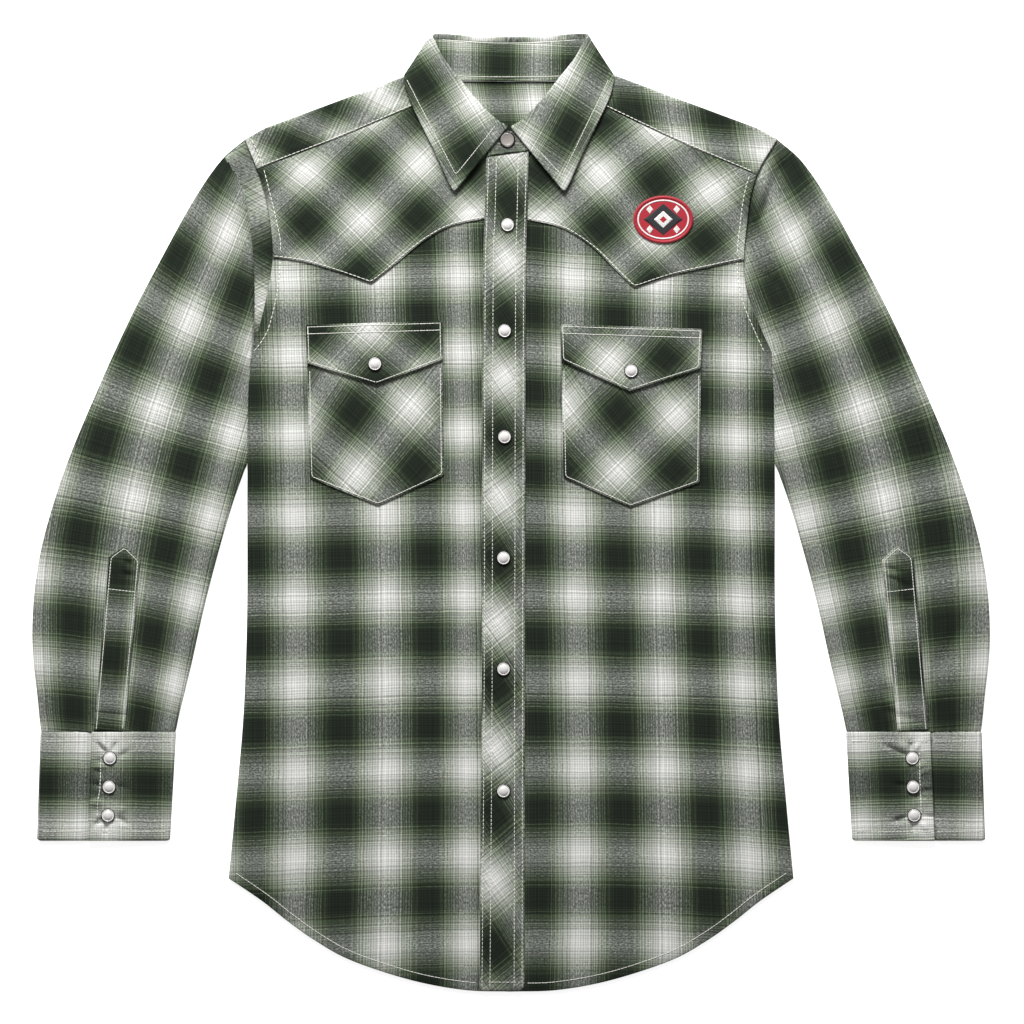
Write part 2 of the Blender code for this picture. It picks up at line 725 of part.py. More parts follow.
def collar_half(side):
    """Stations of one half of the collar, from the middle of the back to the front edge.

    Each station holds the roll, the stand's lower edge and the leaf's edge, each as a point on the
    turned line, the direction that faces the leaf, and the leaf's distances from that line.
    """
    stations = []
    front = len(COLLAR) - len(COLLAR_FRONT[side])
    mirror = -1 if side == "right" else 1
    for k, (roll_x, roll_y, stand_x, stand_y, leaf_x, leaf_y, turn) in enumerate(COLLAR):
        heights = COLLAR_FRONT[side][k - front] if k >= front else (TURN_Z, FALL_Z, FALL_Z)
        height, leaf_roll, leaf_edge = heights
        angle = math.radians(turn)
        facing = np.array([
            mirror * COLLAR_SIDE[0] * math.cos(angle),
            COLLAR_SIDE[1] * math.cos(angle),
            math.sin(angle),
        ])
        places = [
            np.array([COLLAR_X + mirror * x, y, height])
            for x, y in ((roll_x, roll_y), (stand_x, stand_y), (leaf_x, leaf_y))
        ]
        stations.append((*places, facing, leaf_roll - height, leaf_edge - height))
    return stations


def collar_stations():
    """All stations, from the right front edge round the neck to the left one."""
    return collar_half("right")[:0:-1] + collar_half("left")


def leaf_section(station):
    """From the seam with the stand, round the roll, to the leaf's edge."""
    roll, stand, leaf, facing, rise_roll, rise_edge = station
    to_stand, to_leaf = unit(stand - roll), unit(leaf - roll)
    radius = (rise_roll - STAND_RADIUS) / 2
    centre = roll + facing * (STAND_RADIUS + radius)
    section = [roll + to_stand * COLLAR_SEAM + facing * STAND_RADIUS]
    for angle in np.radians([-90, -45, 0, 45, 90]):
        section.append(centre + radius * (facing * math.sin(angle) - to_leaf * math.cos(angle)))
    for t in (0.25, 0.5, 0.75, 1.0):
        rise = rise_roll + (rise_edge - rise_roll) * t
        section.append(roll + (leaf - roll) * t + facing * rise)
    return section


def make_collar_leaf(finish):
    """The leaf: the fall at the back, under the stand, and the two wings on the front."""
    wall("collar_leaf", np.array([leaf_section(s) for s in collar_stations()]), FUSED, finish)


def stand_section(top, bottom, facing):
    """Across the stand, from its seam with the leaf to the neckline."""
    start = top + unit(bottom - top) * (COLLAR_SEAM + GAP)
    return [start + (bottom - start) * t + facing * STAND_RADIUS for t in (0.0, 0.5, 1.0)]


def make_stand(finish):
    """The stand, a band round the neck. Its left end laps over its right one at the front."""
    up = np.array([0.0, 0.0, 1.0])
    rows = [stand_section(station[0], station[1], station[3]) for station in collar_stations()]
    for side, mirror in zip(SIDES, (-1, 1)):
        height = COLLAR_FRONT[side][-1][0]
        for top_x, top_y, low_x, low_y in STAND_END[side]:
            top = np.array([COLLAR_X + mirror * top_x, top_y, height])
            low = np.array([COLLAR_X + mirror * low_x, low_y, height])
            section = [top + (low - top) * t + up * STAND_RADIUS for t in (0.0, 0.5, 1.0)]
            rows = [section] + rows if side == "right" else rows + [section]
    wall("collar_stand", np.array(rows), FUSED, finish)


# ---------------------------------------------------------------- snaps and badge


def make_snaps(pearl):
    """Snap caps on placket, stand, flaps and cuffs."""
    for k, (x, y) in enumerate(PLACKET_SNAPS):
        seat = lift(x, y) + STEP * placket_layer(y) + STEP
        turned(f"snap_placket_{k + 1}", (x, y), float(seat), SNAP, SNAP_SIDES, pearl)
    stand_top = COLLAR_FRONT["left"][-1][0] + STAND_RADIUS + FUSED / 2
    turned("snap_stand", STAND_SNAP, stand_top + GAP, SNAP, SNAP_SIDES, pearl)
    for side in SIDES:
        x, y = FLAP[side]["snap"]
        seat = lift(x, y) + 3 * STEP
        turned(f"snap_flap_{side}", (x, y), float(seat), SNAP, SNAP_SIDES, pearl)
        for k, (x, y) in enumerate(CUFF_SNAPS):
            place = mirrored((x, y), side)
            seat = CUFF_ROUTE[0][1] + FUSED / 2 + GAP
            turned(f"snap_cuff_{side}_{k + 1}", place, seat, SNAP, SNAP_SIDES, pearl)


def make_badge(finish):
    """The oval woven badge on the left yoke."""
    seat = float(lift(*BADGE_CENTRE)) + 2 * STEP
    profile = ((1.0, 0.0), (1.0, 0.9), (0.93, 1.2))
    turned("badge", BADGE_CENTRE, seat, profile, BADGE_SIDES, finish, BADGE_HALF)


def main():
    for old in list(bpy.data.objects):
        bpy.data.objects.remove(old, do_unlink=True)
    straight = material("brushed_flannel_check", (0.20, 0.23, 0.19), 0.9)
    bias = material("brushed_flannel_check_on_the_bias", (0.17, 0.20, 0.16), 0.9)
    pearl = material("pearl_snap", (0.85, 0.85, 0.83), 0.25)
    woven = material("woven_badge", (0.45, 0.04, 0.05), 0.7)

    make_back(straight)
    make_yoke(bias)
    for side in SIDES:
        make_front(side, straight)
        make_front_yoke(side, bias)
        make_sleeve(side, straight)
        make_cuff(side, straight)
        make_sleeve_placket(side, straight)
        make_pocket(side, bias)
        make_flap(side, bias)
    make_placket(bias)
    make_collar_leaf(straight)
    make_stand(straight)
    make_snaps(pearl)
    make_badge(woven)


main()
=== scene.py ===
# %% [markdown]
# # A western snap shirt, laid flat
# A shirt is a set of flat panels, cut from one checked flannel and sewn edge to edge. Laid on a
# table it is two layers of cloth and a little air, so nearly all of its looks come from the check,
# the seams and the way the upper layer sinks towards every edge.
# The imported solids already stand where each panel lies. Here every panel is made again as a finer,
# softer skin in the same place, from the same sizes in millimetres.

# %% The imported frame
import json
import math

import bpy
import numpy as np
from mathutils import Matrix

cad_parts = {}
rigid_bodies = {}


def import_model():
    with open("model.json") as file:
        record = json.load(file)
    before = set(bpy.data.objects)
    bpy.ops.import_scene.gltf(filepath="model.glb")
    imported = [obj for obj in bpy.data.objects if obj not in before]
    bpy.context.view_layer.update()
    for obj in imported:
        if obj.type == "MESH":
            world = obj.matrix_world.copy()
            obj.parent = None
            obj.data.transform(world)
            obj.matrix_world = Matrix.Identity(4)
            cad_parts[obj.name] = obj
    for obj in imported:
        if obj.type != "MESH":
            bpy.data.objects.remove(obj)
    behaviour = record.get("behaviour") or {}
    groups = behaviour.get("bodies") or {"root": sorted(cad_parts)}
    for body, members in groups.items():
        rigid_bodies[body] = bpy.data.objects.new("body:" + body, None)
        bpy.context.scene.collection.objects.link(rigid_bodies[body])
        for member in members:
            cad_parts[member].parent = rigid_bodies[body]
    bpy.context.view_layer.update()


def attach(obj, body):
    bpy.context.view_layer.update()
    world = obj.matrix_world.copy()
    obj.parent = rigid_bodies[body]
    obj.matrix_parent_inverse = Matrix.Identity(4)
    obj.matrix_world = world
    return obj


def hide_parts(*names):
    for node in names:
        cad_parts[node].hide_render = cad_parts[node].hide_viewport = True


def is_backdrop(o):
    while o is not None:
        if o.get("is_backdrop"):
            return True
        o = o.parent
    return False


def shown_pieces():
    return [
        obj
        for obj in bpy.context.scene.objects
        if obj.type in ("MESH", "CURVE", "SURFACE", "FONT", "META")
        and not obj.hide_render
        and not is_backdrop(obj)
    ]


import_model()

# %% [markdown]
# ## Cloth and layers
# Brushed flannel is about half a millimetre thick, and with its nap and its folded-in allowances a
# panel stands 1.2 mm high. Yokes, collar and cuffs are doubled. Heights and widths below are
# millimetres, and a mesh is scaled to metres when it is made.

# %% Sizes of the cloth
MM = 0.001
CLOTH, FUSED, GAP = 1.2, 1.4, 0.3  # one ply, a ply with interlining, the air between two plies
STEP = CLOTH + GAP
PUFF, PUFF_ROLL = 0.8, 60.0  # how far the air lifts the cloth, and how far in from an edge
PILLOW, PILLOW_ROLL = 1.15, 5.0  # the same for the quick round rise at an edge
FOLD_SWELL = 2.2  # how much the fold over the shoulder stands above the rest
SIDES = ("right", "left")  # the wearer's right is at -X
print("a ply is", CLOTH, "mm and the next one lies", STEP, "mm higher")

# %% [markdown]
# ## Lines of the pattern
# A pattern cutter draws edges as a few measured points joined by a smooth curve. These are the same
# points that the solids use, so each skin ends where its solid does.

# %% Measured edges
ARMPIT_Y, SHOULDER_TIP, NECK_CORNER = 137.6, (229.0, 321.0), (84.0, 375.7)
CENTRE_X, COLLAR_X = -5.0, -1.7
SIDE_SEAM = (  # half width, y
    (223.8, 137.6), (225.8, 96.0), (226.6, 27.5), (226.6, -75.0), (228.4, -144.5),
    (231.0, -190.0), (235.5, -240.0), (240.0, -288.0), (242.6, -315.0),
)
HEM = (  # half width, y
    (242.6, -315.0), (214.0, -334.4), (192.5, -351.4), (168.5, -368.4),
    (137.6, -385.4), (86.0, -402.4), (40.0, -410.9), (0.0, -412.3),
)
ARMHOLE = (  # y, half width on the right, half width on the left
    (137.6, 224.0, 224.0), (158.0, 216.6, 214.5), (188.3, 209.4, 202.8), (218.4, 204.7, 200.1),
    (245.5, 206.3, 202.4), (272.0, 211.0, 206.0), (295.0, 218.3, 213.5), (321.0, 229.0, 229.0),
)
FORWARD_SEAM_Y = {"right": 295.0, "left": 290.0}
NECKLINE = ((70.3, 354.5), (56.3, 336.0), (38.3, 318.0), (19.0, 308.0), (3.0, 306.4))
BACK_NECK = ((82.3, 375.7), (60.3, 371.8), (40.0, 370.3), (0.0, 370.0))
BACK_SEAM_Y, BACK_POINT = 245.0, 38.0
SLEEVE = (  # outer x, outer y, inner x, inner y
    (230.2, 320.6, 224.1, 137.0), (252.0, 300.8, 225.3, 113.0), (275.0, 266.8, 226.2, 85.0),
    (302.0, 217.5, 226.6, 46.0), (329.0, 165.0, 230.2, 34.0), (360.0, 96.3, 240.0, 6.0),
    (387.4, 27.5, 252.5, -37.0), (406.3, -41.3, 264.8, -85.0), (412.0, -105.0, 275.0, -131.0),
    (407.2, -161.7, 284.5, -170.0), (404.4, -189.0, 288.5, -189.0),
)
YOKE_OUTER = {
    "right": ((-204.5, 218.9), (-178.4, 215.3), (-153.0, 208.1), (-120.0, 196.6)),
    "left": ((199.9, 217.2), (171.1, 211.0), (138.2, 203.6), (105.8, 192.9)),
}
YOKE_INNER = {
    "right": ((-120.0, 196.6), (-99.0, 213.8), (-83.0, 227.3), (-67.2, 238.4), (-48.1, 247.2),
              (-14.0, 254.0)),
    "left": ((105.8, 192.9), (88.8, 209.4), (72.4, 225.8), (52.6, 239.9), (36.2, 246.8), (6.0, 253.0)),
}
PLACKET = (  # y, x of the right edge, y, x of the left edge
    (305.2, -21.1, 310.0, 15.0), (255.0, -22.4, 255.0, 13.8), (182.0, -24.1, 182.0, 12.5),
    (-150.0, -24.9, -150.0, 11.7), (-334.0, -26.2, -334.0, 11.4), (-411.3, -26.8, -411.3, 11.2),
)
PLACKET_DROP_Y = (252.0, 215.0)


# %% [markdown]
# ## Curves and patches
# Flat cloth is drawn by its edges, so a few tools do for every panel: a smooth curve through
# measured points, places along it that crowd together where a fold rolls over, and a patch that
# fills the room between four edges. Bridging the edges by hand would give the same grids.

# %% Curves and patches
BLOCK = 16384  # how many points are measured at once, which bounds the memory
CORNER_REACH = 6  # how many points in from a corner its two edges are read


def smooth(t):
    """0 to 1 with level ends: three t squared less two t cubed."""
    t = np.clip(t, 0.0, 1.0)
    return t * t * (3.0 - 2.0 * t)


def bell(distance, width):
    """A bell: e to the power of minus the square of distance over width. 1 in the middle."""
    return np.exp(-((distance / width) ** 2))


def unit(vectors):
    return vectors / np.maximum(np.linalg.norm(vectors, axis=-1, keepdims=True), 1e-12)


def even(count):
    return np.linspace(0, 1, count)


def lengths_along(points):
    """How far along a polyline each of its points is."""
    return np.r_[0, np.cumsum(np.linalg.norm(np.diff(points, axis=0), axis=1))]


def columns_at(where, along, rows):
    """Every column of a table, read between its rows."""
    return np.stack([np.interp(where, along, column) for column in rows.T], axis=1)


def resample(points, where):
    """The same polyline at the given parts of its length."""
    along = lengths_along(points)
    return columns_at(np.asarray(where) * along[-1], along, points)


def curve(rows, where):
    """A Catmull-Rom curve through the rows: each span is a cubic that leaves and meets its points
    along the line between their neighbours."""
    points = np.asarray(rows, float)
    padded = np.vstack([2 * points[0] - points[1], points, 2 * points[-1] - points[-2]])
    a, b, c, d = (padded[k:len(padded) - 3 + k, None] for k in range(4))
    t = np.linspace(0, 1, 25)[None, :, None]
    fine = 2 * b + (c - a) * t + (2 * a - 5 * b + 4 * c - d) * t**2 + (3 * b - a - 3 * c + d) * t**3
    return resample(0.5 * fine.reshape(-1, points.shape[1]), where)


def parts(length, step, edge=0.5):
    """Places along a length, as parts of it: close together at both ends, where a fold rolls over,
    and a step apart between."""
    near = np.array([0, edge, 2.4 * edge, 5 * edge])
    count = max(2, int(round((length - 2 * near[-1]) / step)) + 1)
    middle = np.linspace(near[-1], length - near[-1], count)
    return np.r_[near[:-1], middle, length - near[-2::-1]] / length


def joined_parts(*runs):
    """Places along runs put end to end, as parts of the whole. A run is a length and its places."""
    total, start, out = sum(length for length, _ in runs), 0.0, [0.0]
    for length, where in runs:
        out.extend(((start + np.asarray(where)[1:] * length) / total).tolist())
        start += length
    return np.array(out)


def coons(bottom, top, left, right, s, t):
    """A Coons patch: the two ruled surfaces between facing edges, less the one between the corners."""
    s, t = s[None, :, None], t[:, None, None]
    across = (1 - s) * left[:, None] + s * right[:, None]
    along = (1 - t) * bottom[None] + t * top[None]
    lower, upper = (1 - s) * bottom[0] + s * bottom[-1], (1 - s) * top[0] + s * top[-1]
    return across + along - (1 - t) * lower - t * upper


def between(one, other, where):
    """Straight lines from one row of points to another: a point for each place between them."""
    return one + (other - one) * where[:, None]


def mirrored(points, side):
    """Points measured on the left, moved to the side asked for."""
    points = np.array(points, float)
    points[..., 0] *= -1 if side == "right" else 1
    return points


def nearest(x, y, line):
    """How far each point is from a polyline, and how far along it that place is."""
    shape = np.shape(x)
    px, py = np.ravel(x), np.ravel(y)
    a, step = line[:-1], np.diff(line, axis=0)
    size = np.maximum((step**2).sum(axis=1), 1e-9)
    before = np.r_[0, np.cumsum(np.sqrt(size))[:-1]]
    far, at = np.empty(len(px)), np.empty(len(px))
    for k in range(0, len(px), BLOCK):
        dx, dy = px[k:k + BLOCK, None] - a[:, 0], py[k:k + BLOCK, None] - a[:, 1]
        t = np.clip((dx * step[:, 0] + dy * step[:, 1]) / size, 0, 1)
        d = np.hypot(dx - t * step[:, 0], dy - t * step[:, 1])
        best = d.argmin(axis=1)
        rows = np.arange(len(best))
        far[k:k + BLOCK] = d[rows, best]
        at[k:k + BLOCK] = before[best] + t[rows, best] * np.sqrt(size[best])
    return far.reshape(shape), at.reshape(shape)


def soften(grid, radius, corners):
    """Rounds corners of a grid, named by row and column. Beside one, the square of this side is
    mapped to a quarter circle: each part is shortened by the root of one less half the other squared."""
    for row, column in corners:
        origin = grid[row, column, :2].copy()
        one = unit(grid[row, column + CORNER_REACH * (1 if column == 0 else -1), :2] - origin)
        other = unit(grid[row + CORNER_REACH * (1 if row == 0 else -1), column, :2] - origin)
        offsets = (grid[..., :2] - origin).reshape(-1, 2).T
        away = np.linalg.solve(np.stack([one, other], axis=1), offsets)
        u, v = np.clip(1 - away.reshape(2, *grid.shape[:2]) / radius, 0, 1)
        grid[..., :2] += (radius * u * (1 - np.sqrt(1 - v**2 / 2)))[..., None] * one
        grid[..., :2] += (radius * v * (1 - np.sqrt(1 - u**2 / 2)))[..., None] * other
    return grid


# %% [markdown]
# ## Edges that several panels share
# A seam is one line for the two panels that meet there, so it is worked out once: the armhole, the
# neckline, the seam between yoke and front, and the outline of the whole shirt. Drawing each panel
# by itself would leave slits between them.

# %% Edges that several panels share
def armhole_x(side, y):
    rows = np.array(ARMHOLE)
    line = curve(rows[:, [1 if side == "right" else 2, 0]], even(160))
    return np.interp(y, line[:, 1], line[:, 0])


def armhole(side, low, high, where, clear=0.0):
    """The armhole seam between two heights, moved out by clear."""
    y = low + (high - low) * np.asarray(where)
    return mirrored(np.stack([armhole_x(side, y) + clear, y], axis=1), side)


def up_to(line, side, x):
    """The part of one side's line that doesn't reach past x towards the middle."""
    return line[line[:, 0] < x] if side == "right" else line[line[:, 0] > x]


def neckline(side, where, last=None):
    line = mirrored(curve(NECKLINE, even(80)), side) + (COLLAR_X, 0)
    return resample(line if last is None else up_to(line, side, last), where)


def forward_seam(side, where, clear=0.0):
    """The seam between yoke and front, from the armhole to the neckline."""
    y = FORWARD_SEAM_Y[side]
    start = mirrored((armhole_x(side, y), y), side)
    end = neckline(side, [0.0])[0]
    return curve([start, (start + end) / 2 + (0, -1.5), end], where) + (0, clear)


OUTLINE = [
    mirrored(line, side)
    for line in (
        np.array([NECK_CORNER, SHOULDER_TIP]),
        curve([row[:2] for row in SLEEVE], even(60)),
        curve([row[2:] for row in SLEEVE], even(60)),
        curve(SIDE_SEAM, even(40)),
        curve(HEM, even(40)),
    )
    for side in SIDES
]
ARM_LINE = {side: armhole(side, ARMPIT_Y, SHOULDER_TIP[1], even(60)) for side in SIDES}
FORWARD_LINE = {side: forward_seam(side, even(60)) for side in SIDES}
HEM_LINE = {side: mirrored(curve(HEM, even(80)), side) for side in SIDES}
print("outline:", sum(len(line) for line in OUTLINE), "points")

# %% [markdown]
# ## How high the upper layer lies
# Air and seams hold the upper layer off the lower one, except near an edge, where the two meet in a
# fold. One height field does that for fronts and sleeves alike, so whatever is sewn on top of them
# can follow it. Creases are rows of this field: a line, how wide it is and how far it rises, with
# ends that fade. They could come from a cloth simulation, but a pressed shirt has only a few, and
# they are listed one by one.

# %% Creases
CREASES = (  # x, y, x, y, half width, rise
    # right sleeve: hollows at its head, and the roll above the armpit
    (-243.0, 303.0, -236.0, 283.0, 6.0, -2.6), (-262.0, 292.0, -250.0, 240.0, 13.0, 2.6),
    (-222.0, 292.0, -212.0, 262.0, 6.0, 1.3), (-236.0, 310.0, -226.0, 296.0, 7.0, 1.4),
    (-252.0, 200.0, -236.0, 140.0, 12.0, 1.1), (-282.0, 230.0, -268.0, 150.0, 20.0, 0.8),
    (-262.0, 120.0, -300.0, 60.0, 15.0, 0.8), (-292.0, 40.0, -330.0, 5.0, 14.0, -0.96),
    (-376.0, 0.0, -388.0, -70.0, 12.0, 0.96), (-300.0, -20.0, -286.0, -90.0, 10.0, 0.8),
    (-290.0, -120.0, -312.0, -165.0, 10.0, -0.96), (-392.0, -110.0, -386.0, -180.0, 7.0, 0.96),
    (-372.0, -130.0, -376.0, -186.0, 6.0, -0.8), (-306.0, -150.0, -300.0, -187.0, 5.0, 0.96),
    (-325.0, -155.0, -318.0, -187.0, 5.0, -0.8), (-366.0, -165.0, -362.0, -187.0, 4.0, 0.64),
    # left sleeve: two hollows, a ridge beside the seam, and the folds that run to the armpit
    (229.0, 301.0, 238.0, 292.0, 8.0, -2.7), (222.0, 296.0, 209.0, 252.0, 4.5, 2.6),
    (230.0, 292.0, 209.0, 238.0, 5.0, -1.9), (246.0, 288.0, 224.0, 236.0, 11.0, 2.4),
    (218.0, 206.0, 231.0, 190.0, 6.0, -2.6), (232.0, 222.0, 256.0, 176.0, 12.0, 1.8),
    (212.0, 232.0, 206.0, 214.0, 7.0, 1.1), (282.0, 220.0, 262.0, 150.0, 18.0, 0.8),
    (262.0, 120.0, 300.0, 60.0, 15.0, 0.8), (286.0, 46.0, 326.0, 12.0, 14.0, -0.96),
    (380.0, 10.0, 390.0, -60.0, 12.0, 0.96), (394.0, -84.0, 362.0, -146.0, 7.0, -1.8),
    (399.0, -100.0, 372.0, -160.0, 8.0, 1.1), (300.0, -120.0, 316.0, -168.0, 9.0, -0.8),
    (298.0, -150.0, 302.0, -187.0, 5.0, 0.8), (386.0, -150.0, 384.0, -187.0, 6.0, 0.8),
    (310.0, -160.0, 313.0, -187.0, 4.0, -0.64), (370.0, -160.0, 367.0, -187.0, 4.0, -0.64),
    # sleeve plackets: wrinkles where they are stitched down, and above the cuffs
    (-333.0, -42.0, -325.0, -46.0, 2.8, -2.2), (-334.0, -53.0, -324.0, -55.0, 2.8, -2.2),
    (-356.0, -174.0, -332.0, -176.0, 3.0, -1.9), (322.0, -48.0, 334.0, -51.0, 2.8, -2.5),
    (323.0, -56.0, 335.0, -60.0, 2.6, -2.5), (331.0, -62.0, 346.0, -64.5, 2.6, -2.2),
    (332.0, -74.5, 349.0, -81.0, 3.4, -2.2), (320.0, -148.0, 328.0, -162.0, 3.6, -2.6),
    (321.0, -168.0, 330.0, -176.0, 3.2, -2.6), (332.0, -176.0, 357.0, -180.0, 3.2, -2.2),
    # fronts: drag lines from the armholes and long soft waves towards the hem
    (196.0, 190.0, 168.0, 176.0, 6.0, 0.8), (200.0, 172.0, 172.0, 166.0, 5.0, -0.64),
    (-200.0, 180.0, -176.0, 168.0, 6.0, 0.8), (-204.0, 164.0, -182.0, 158.0, 5.0, -0.64),
    (-214.0, 40.0, -206.0, -60.0, 12.0, 0.64), (212.0, 20.0, 204.0, -90.0, 12.0, 0.64),
    (-150.0, -220.0, -142.0, -350.0, 22.0, 0.8), (-90.0, -250.0, -84.0, -380.0, 18.0, -0.8),
    (150.0, -200.0, 158.0, -340.0, 22.0, 0.8), (84.0, -240.0, 80.0, -380.0, 18.0, -0.8),
    (-60.0, 20.0, -52.0, -110.0, 16.0, 0.64), (60.0, 0.0, 52.0, -120.0, 16.0, 0.64),
    (-190.0, -120.0, -178.0, -230.0, 16.0, 0.64), (196.0, -130.0, 186.0, -230.0, 16.0, 0.64),
    # left shoulder: a short pinch beside the collar
    (74.0, 332.5, 97.0, 335.0, 2.2, -1.4),
)


def crease_height(x, y, creases=CREASES):
    """The sum of all creases: rise, times a bell across the line, times a bell-ended fade along it."""
    height = np.zeros(np.shape(x))
    for x0, y0, x1, y1, spread, rise in creases:
        beside = np.abs(x - (x0 + x1) / 2) < abs(x1 - x0) / 2 + 2.6 * spread
        near = beside & (np.abs(y - (y0 + y1) / 2) < abs(y1 - y0) / 2 + 2.6 * spread)
        if near.any():
            far, along = nearest(x[near], y[near], np.array([(x0, y0), (x1, y1)]))
            part = along / math.hypot(x1 - x0, y1 - y0)
            height[near] += rise * bell(far, spread) * (0.35 + 0.65 * np.sin(np.pi * part))
    return height


def free(x, y):
    """0 under the collar, which presses the cloth down, and 1 away from it."""
    return smooth((np.hypot(x - COLLAR_X, y - 345.0) - 75.0) / 40.0)


def lift(x, y):
    """Height of the underside of the upper layer: one step at every edge, then a quick round rise,
    a slow puff and the creases. The quick rise is left out under the collar, which presses the cloth
    down, and most of it again where a cuff grips the sleeve."""
    x, y = np.asarray(x, float), np.asarray(y, float)
    edge = np.min([nearest(x, y, line)[0] for line in OUTLINE], axis=0)
    gripped = smooth((-160.0 - y) / 28.0) * (np.abs(x) > 250.0)
    quick = PILLOW * (1 - np.exp(-np.maximum(edge - 1.4, 0) / PILLOW_ROLL)) * free(x, y)
    creased = smooth(edge / 22.0) * crease_height(x, y)
    return STEP + quick * (1 - 0.85 * gripped) + smooth(edge / PUFF_ROLL) * PUFF + creased


def ripple(along, seed=0.0):
    """An uneven wave along a seam: three sines whose lengths share no measure."""
    return (np.sin(along / 1.25 + seed) * 0.5 + np.sin(along / 1.97 + 2.1 * seed) * 0.4
            + np.sin(along / 4.3 + 3.7 * seed) * 0.3)


def sewn_edge(x, y, line, seam=1.6, band=6.5, rise=0.25, pucker=0.2, seed=0.0):
    """What sewing does to a turned edge: the doubled band stands a little proud, a shallow trough
    runs under the thread, and the cloth ripples across it, less and less away from the seam."""
    far, along = nearest(x, y, line)
    doubled = rise * (1 - smooth((far - band) / 2.5))
    waves = pucker * ripple(along, seed) * bell(far - seam, 5.0)
    return doubled - 0.24 * bell(far - seam, 0.9) + waves


def laid(grid, layer, relief=0.0):
    """Grid points in space, in the middle of the layer-th ply of the upper cloth."""
    height = lift(grid[..., 0], grid[..., 1]) + CLOTH / 2 + STEP * layer + relief
    return np.concatenate([grid, height[..., None]], axis=-1)


print("creases:", len(CREASES))

# %% [markdown]
# ## How the check lies
# One cloth gives every panel its check, but each panel is cut and pressed a little differently:
# fronts, back and sleeves on the straight grain, yokes, placket and pockets on the bias. A UV map
# called grain says where each point lies in the woven cloth, in metres across and along the warp,
# so stripes, threads and weave all follow it. A chart gives each panel a middle and a short
# polynomial, worked out for the places of its dark and light blocks.

# %% Chart of the grain
REPEAT = 74.0  # one whole check
UNIT = 86.0  # the chart's own unit of length
LAY = {  # middle x, middle y, then repeats across the warp and along it, by powers of y, then x
    "front_right": (-110, -76, (.473, .011, .004, 0, 1.132, .005, -.001, .086, .005, .072),
                    (.53, -1.18, -.015, -.002, .028, -.002, .001, -.008, .002, -.007)),
    "front_left": (126, -76, (.47, .025, -.002, -.001, 1.199, .011, -.002, .027, .009, .026),
                   (.52, -1.204, -.016, -.001, -.026, -.004, -.002, -.008, .006, -.005)),
    "sleeve_right": (-305, 89, (.502, -.353, -.081, -.015, 1.092, .05, .092, .013, -.147, .154),
                     (.498, -1.012, .057, .008, -.359, -.12, -.033, -.001, .029, .016)),
    "sleeve_left": (299, 89, (.468, .349, .083, .018, 1.123, .032, .071, -.03, .054, .021),
                    (.48, -1.02, .053, .007, .357, .108, .019, .002, .012, -.025)),
    "front_yoke_right": (-122, 268, (.378, -.93, .02, -.142, .947, -.004, .147, .001, -.107, -.001),
                         (.266, -.87, -.022, -.011, -.814, .044, .054, -.034, -.236, -.072)),
    "front_yoke_left": (111, 268, (.051, -.952, .039, -.032, .792, -.123, -.03, -.015, -.085, -.003),
                        (.322, -.848, .026, -.144, -1.076, .101, .076, -.017, -.003, .082)),
    "yoke_right": (-156, 329, (.201, -.44, .888), (.435, -1.65, -.772)),
    "yoke_left": (154, 329, (.662, .181, 1.164), (.229, -1.524, -.089)),
    "yoke_inside": (-3, 354, (.118, .167, 1.431), (.448, -1.761, .017)),
    "pocket_right": (-115, 71, (.362, -.729, .026, .948, .044, -.128),
                     (.976, -.863, -.053, -.775, -.015, -.08)),
    "pocket_left": (103, 71, (.249, -.863, .028, .85, -.057, .024),
                    (.031, -.825, .07, -.929, -.127, .011)),
    "flap_right": (-117, 138, (.746, -.839, .902), (.692, -1.061, -.87)),
    "flap_left": (103, 134, (.657, -.822, .929), (.273, -1.042, -.865)),
    "placket": (-6, -41, (.036, -.824, -.011, .655, .014, .026),
                (.935, -.783, -.006, -1.204, -.015, -.132)),
    "wing_right": (-57, 346, (.079, .788, 1.231), (.404, -.971, .649)),
    "wing_left": (50, 346, (.881, -.705, 1.305), (.816, -.924, -.611)),
    "stand": (-3, 389, (.101, -.022, 1.317), (.913, -1.501, -.056)),
    "cuff_right_under": (-382, -236, (.312, -.026, 1.28), (.03, -1.18, -.01)),
    "cuff_right_lap": (-315, -236, (.975, -.02, 1.32), (.03, -1.18, -.016)),
    "cuff_left_under": (382, -236, (.14, -.02, 1.31), (.04, -1.17, -.02)),
    "cuff_left_lap": (313, -236, (.747, .06, 1.53), (.04, -1.18, .03)),
    "sleeve_placket_right": (-338, -110, (.079, -.116, 1.5), (.785, -1.189, -.091)),
    "sleeve_placket_left": (339, -110, (.853, .12, 1.507), (.654, -1.196, .082)),
    "back": (0, -76, (.5, 0, 1.16), (.5, -1.16, 0)),
    "strip_right": (-215, 227, (-.128, -1.002, .496), (.109, -.906, -.523)),
    "tab": (-4, 312, (0, 0, 1.16), (.36, 1.16, 0)),
    "leaf_back": (1, 407, (0, 0, 1.5), (.47, -.3, 0)),
}


def grain(chart, points):
    """Warp and weft places of points, in metres: a polynomial in the chart's units whose powers
    run over y first, then x, times the repeat."""
    cx, cy, warp, weft = LAY[chart]
    x, y = (points[..., 0] - cx) / UNIT, (points[..., 1] - cy) / UNIT
    degree = {3: 1, 6: 2, 10: 3}[len(warp)]
    powers = [(a, b) for a in range(degree + 1) for b in range(degree + 1 - a)]
    terms = np.stack([x**a * y**b for a, b in powers], axis=-1)
    return np.stack([terms @ np.array(warp), terms @ np.array(weft)], axis=-1) * REPEAT * MM


def corners_of(values):
    """The values at the four corners of each cell of a grid."""
    return np.stack([values[:-1, :-1], values[:-1, 1:], values[1:, 1:], values[1:, :-1]], axis=2)


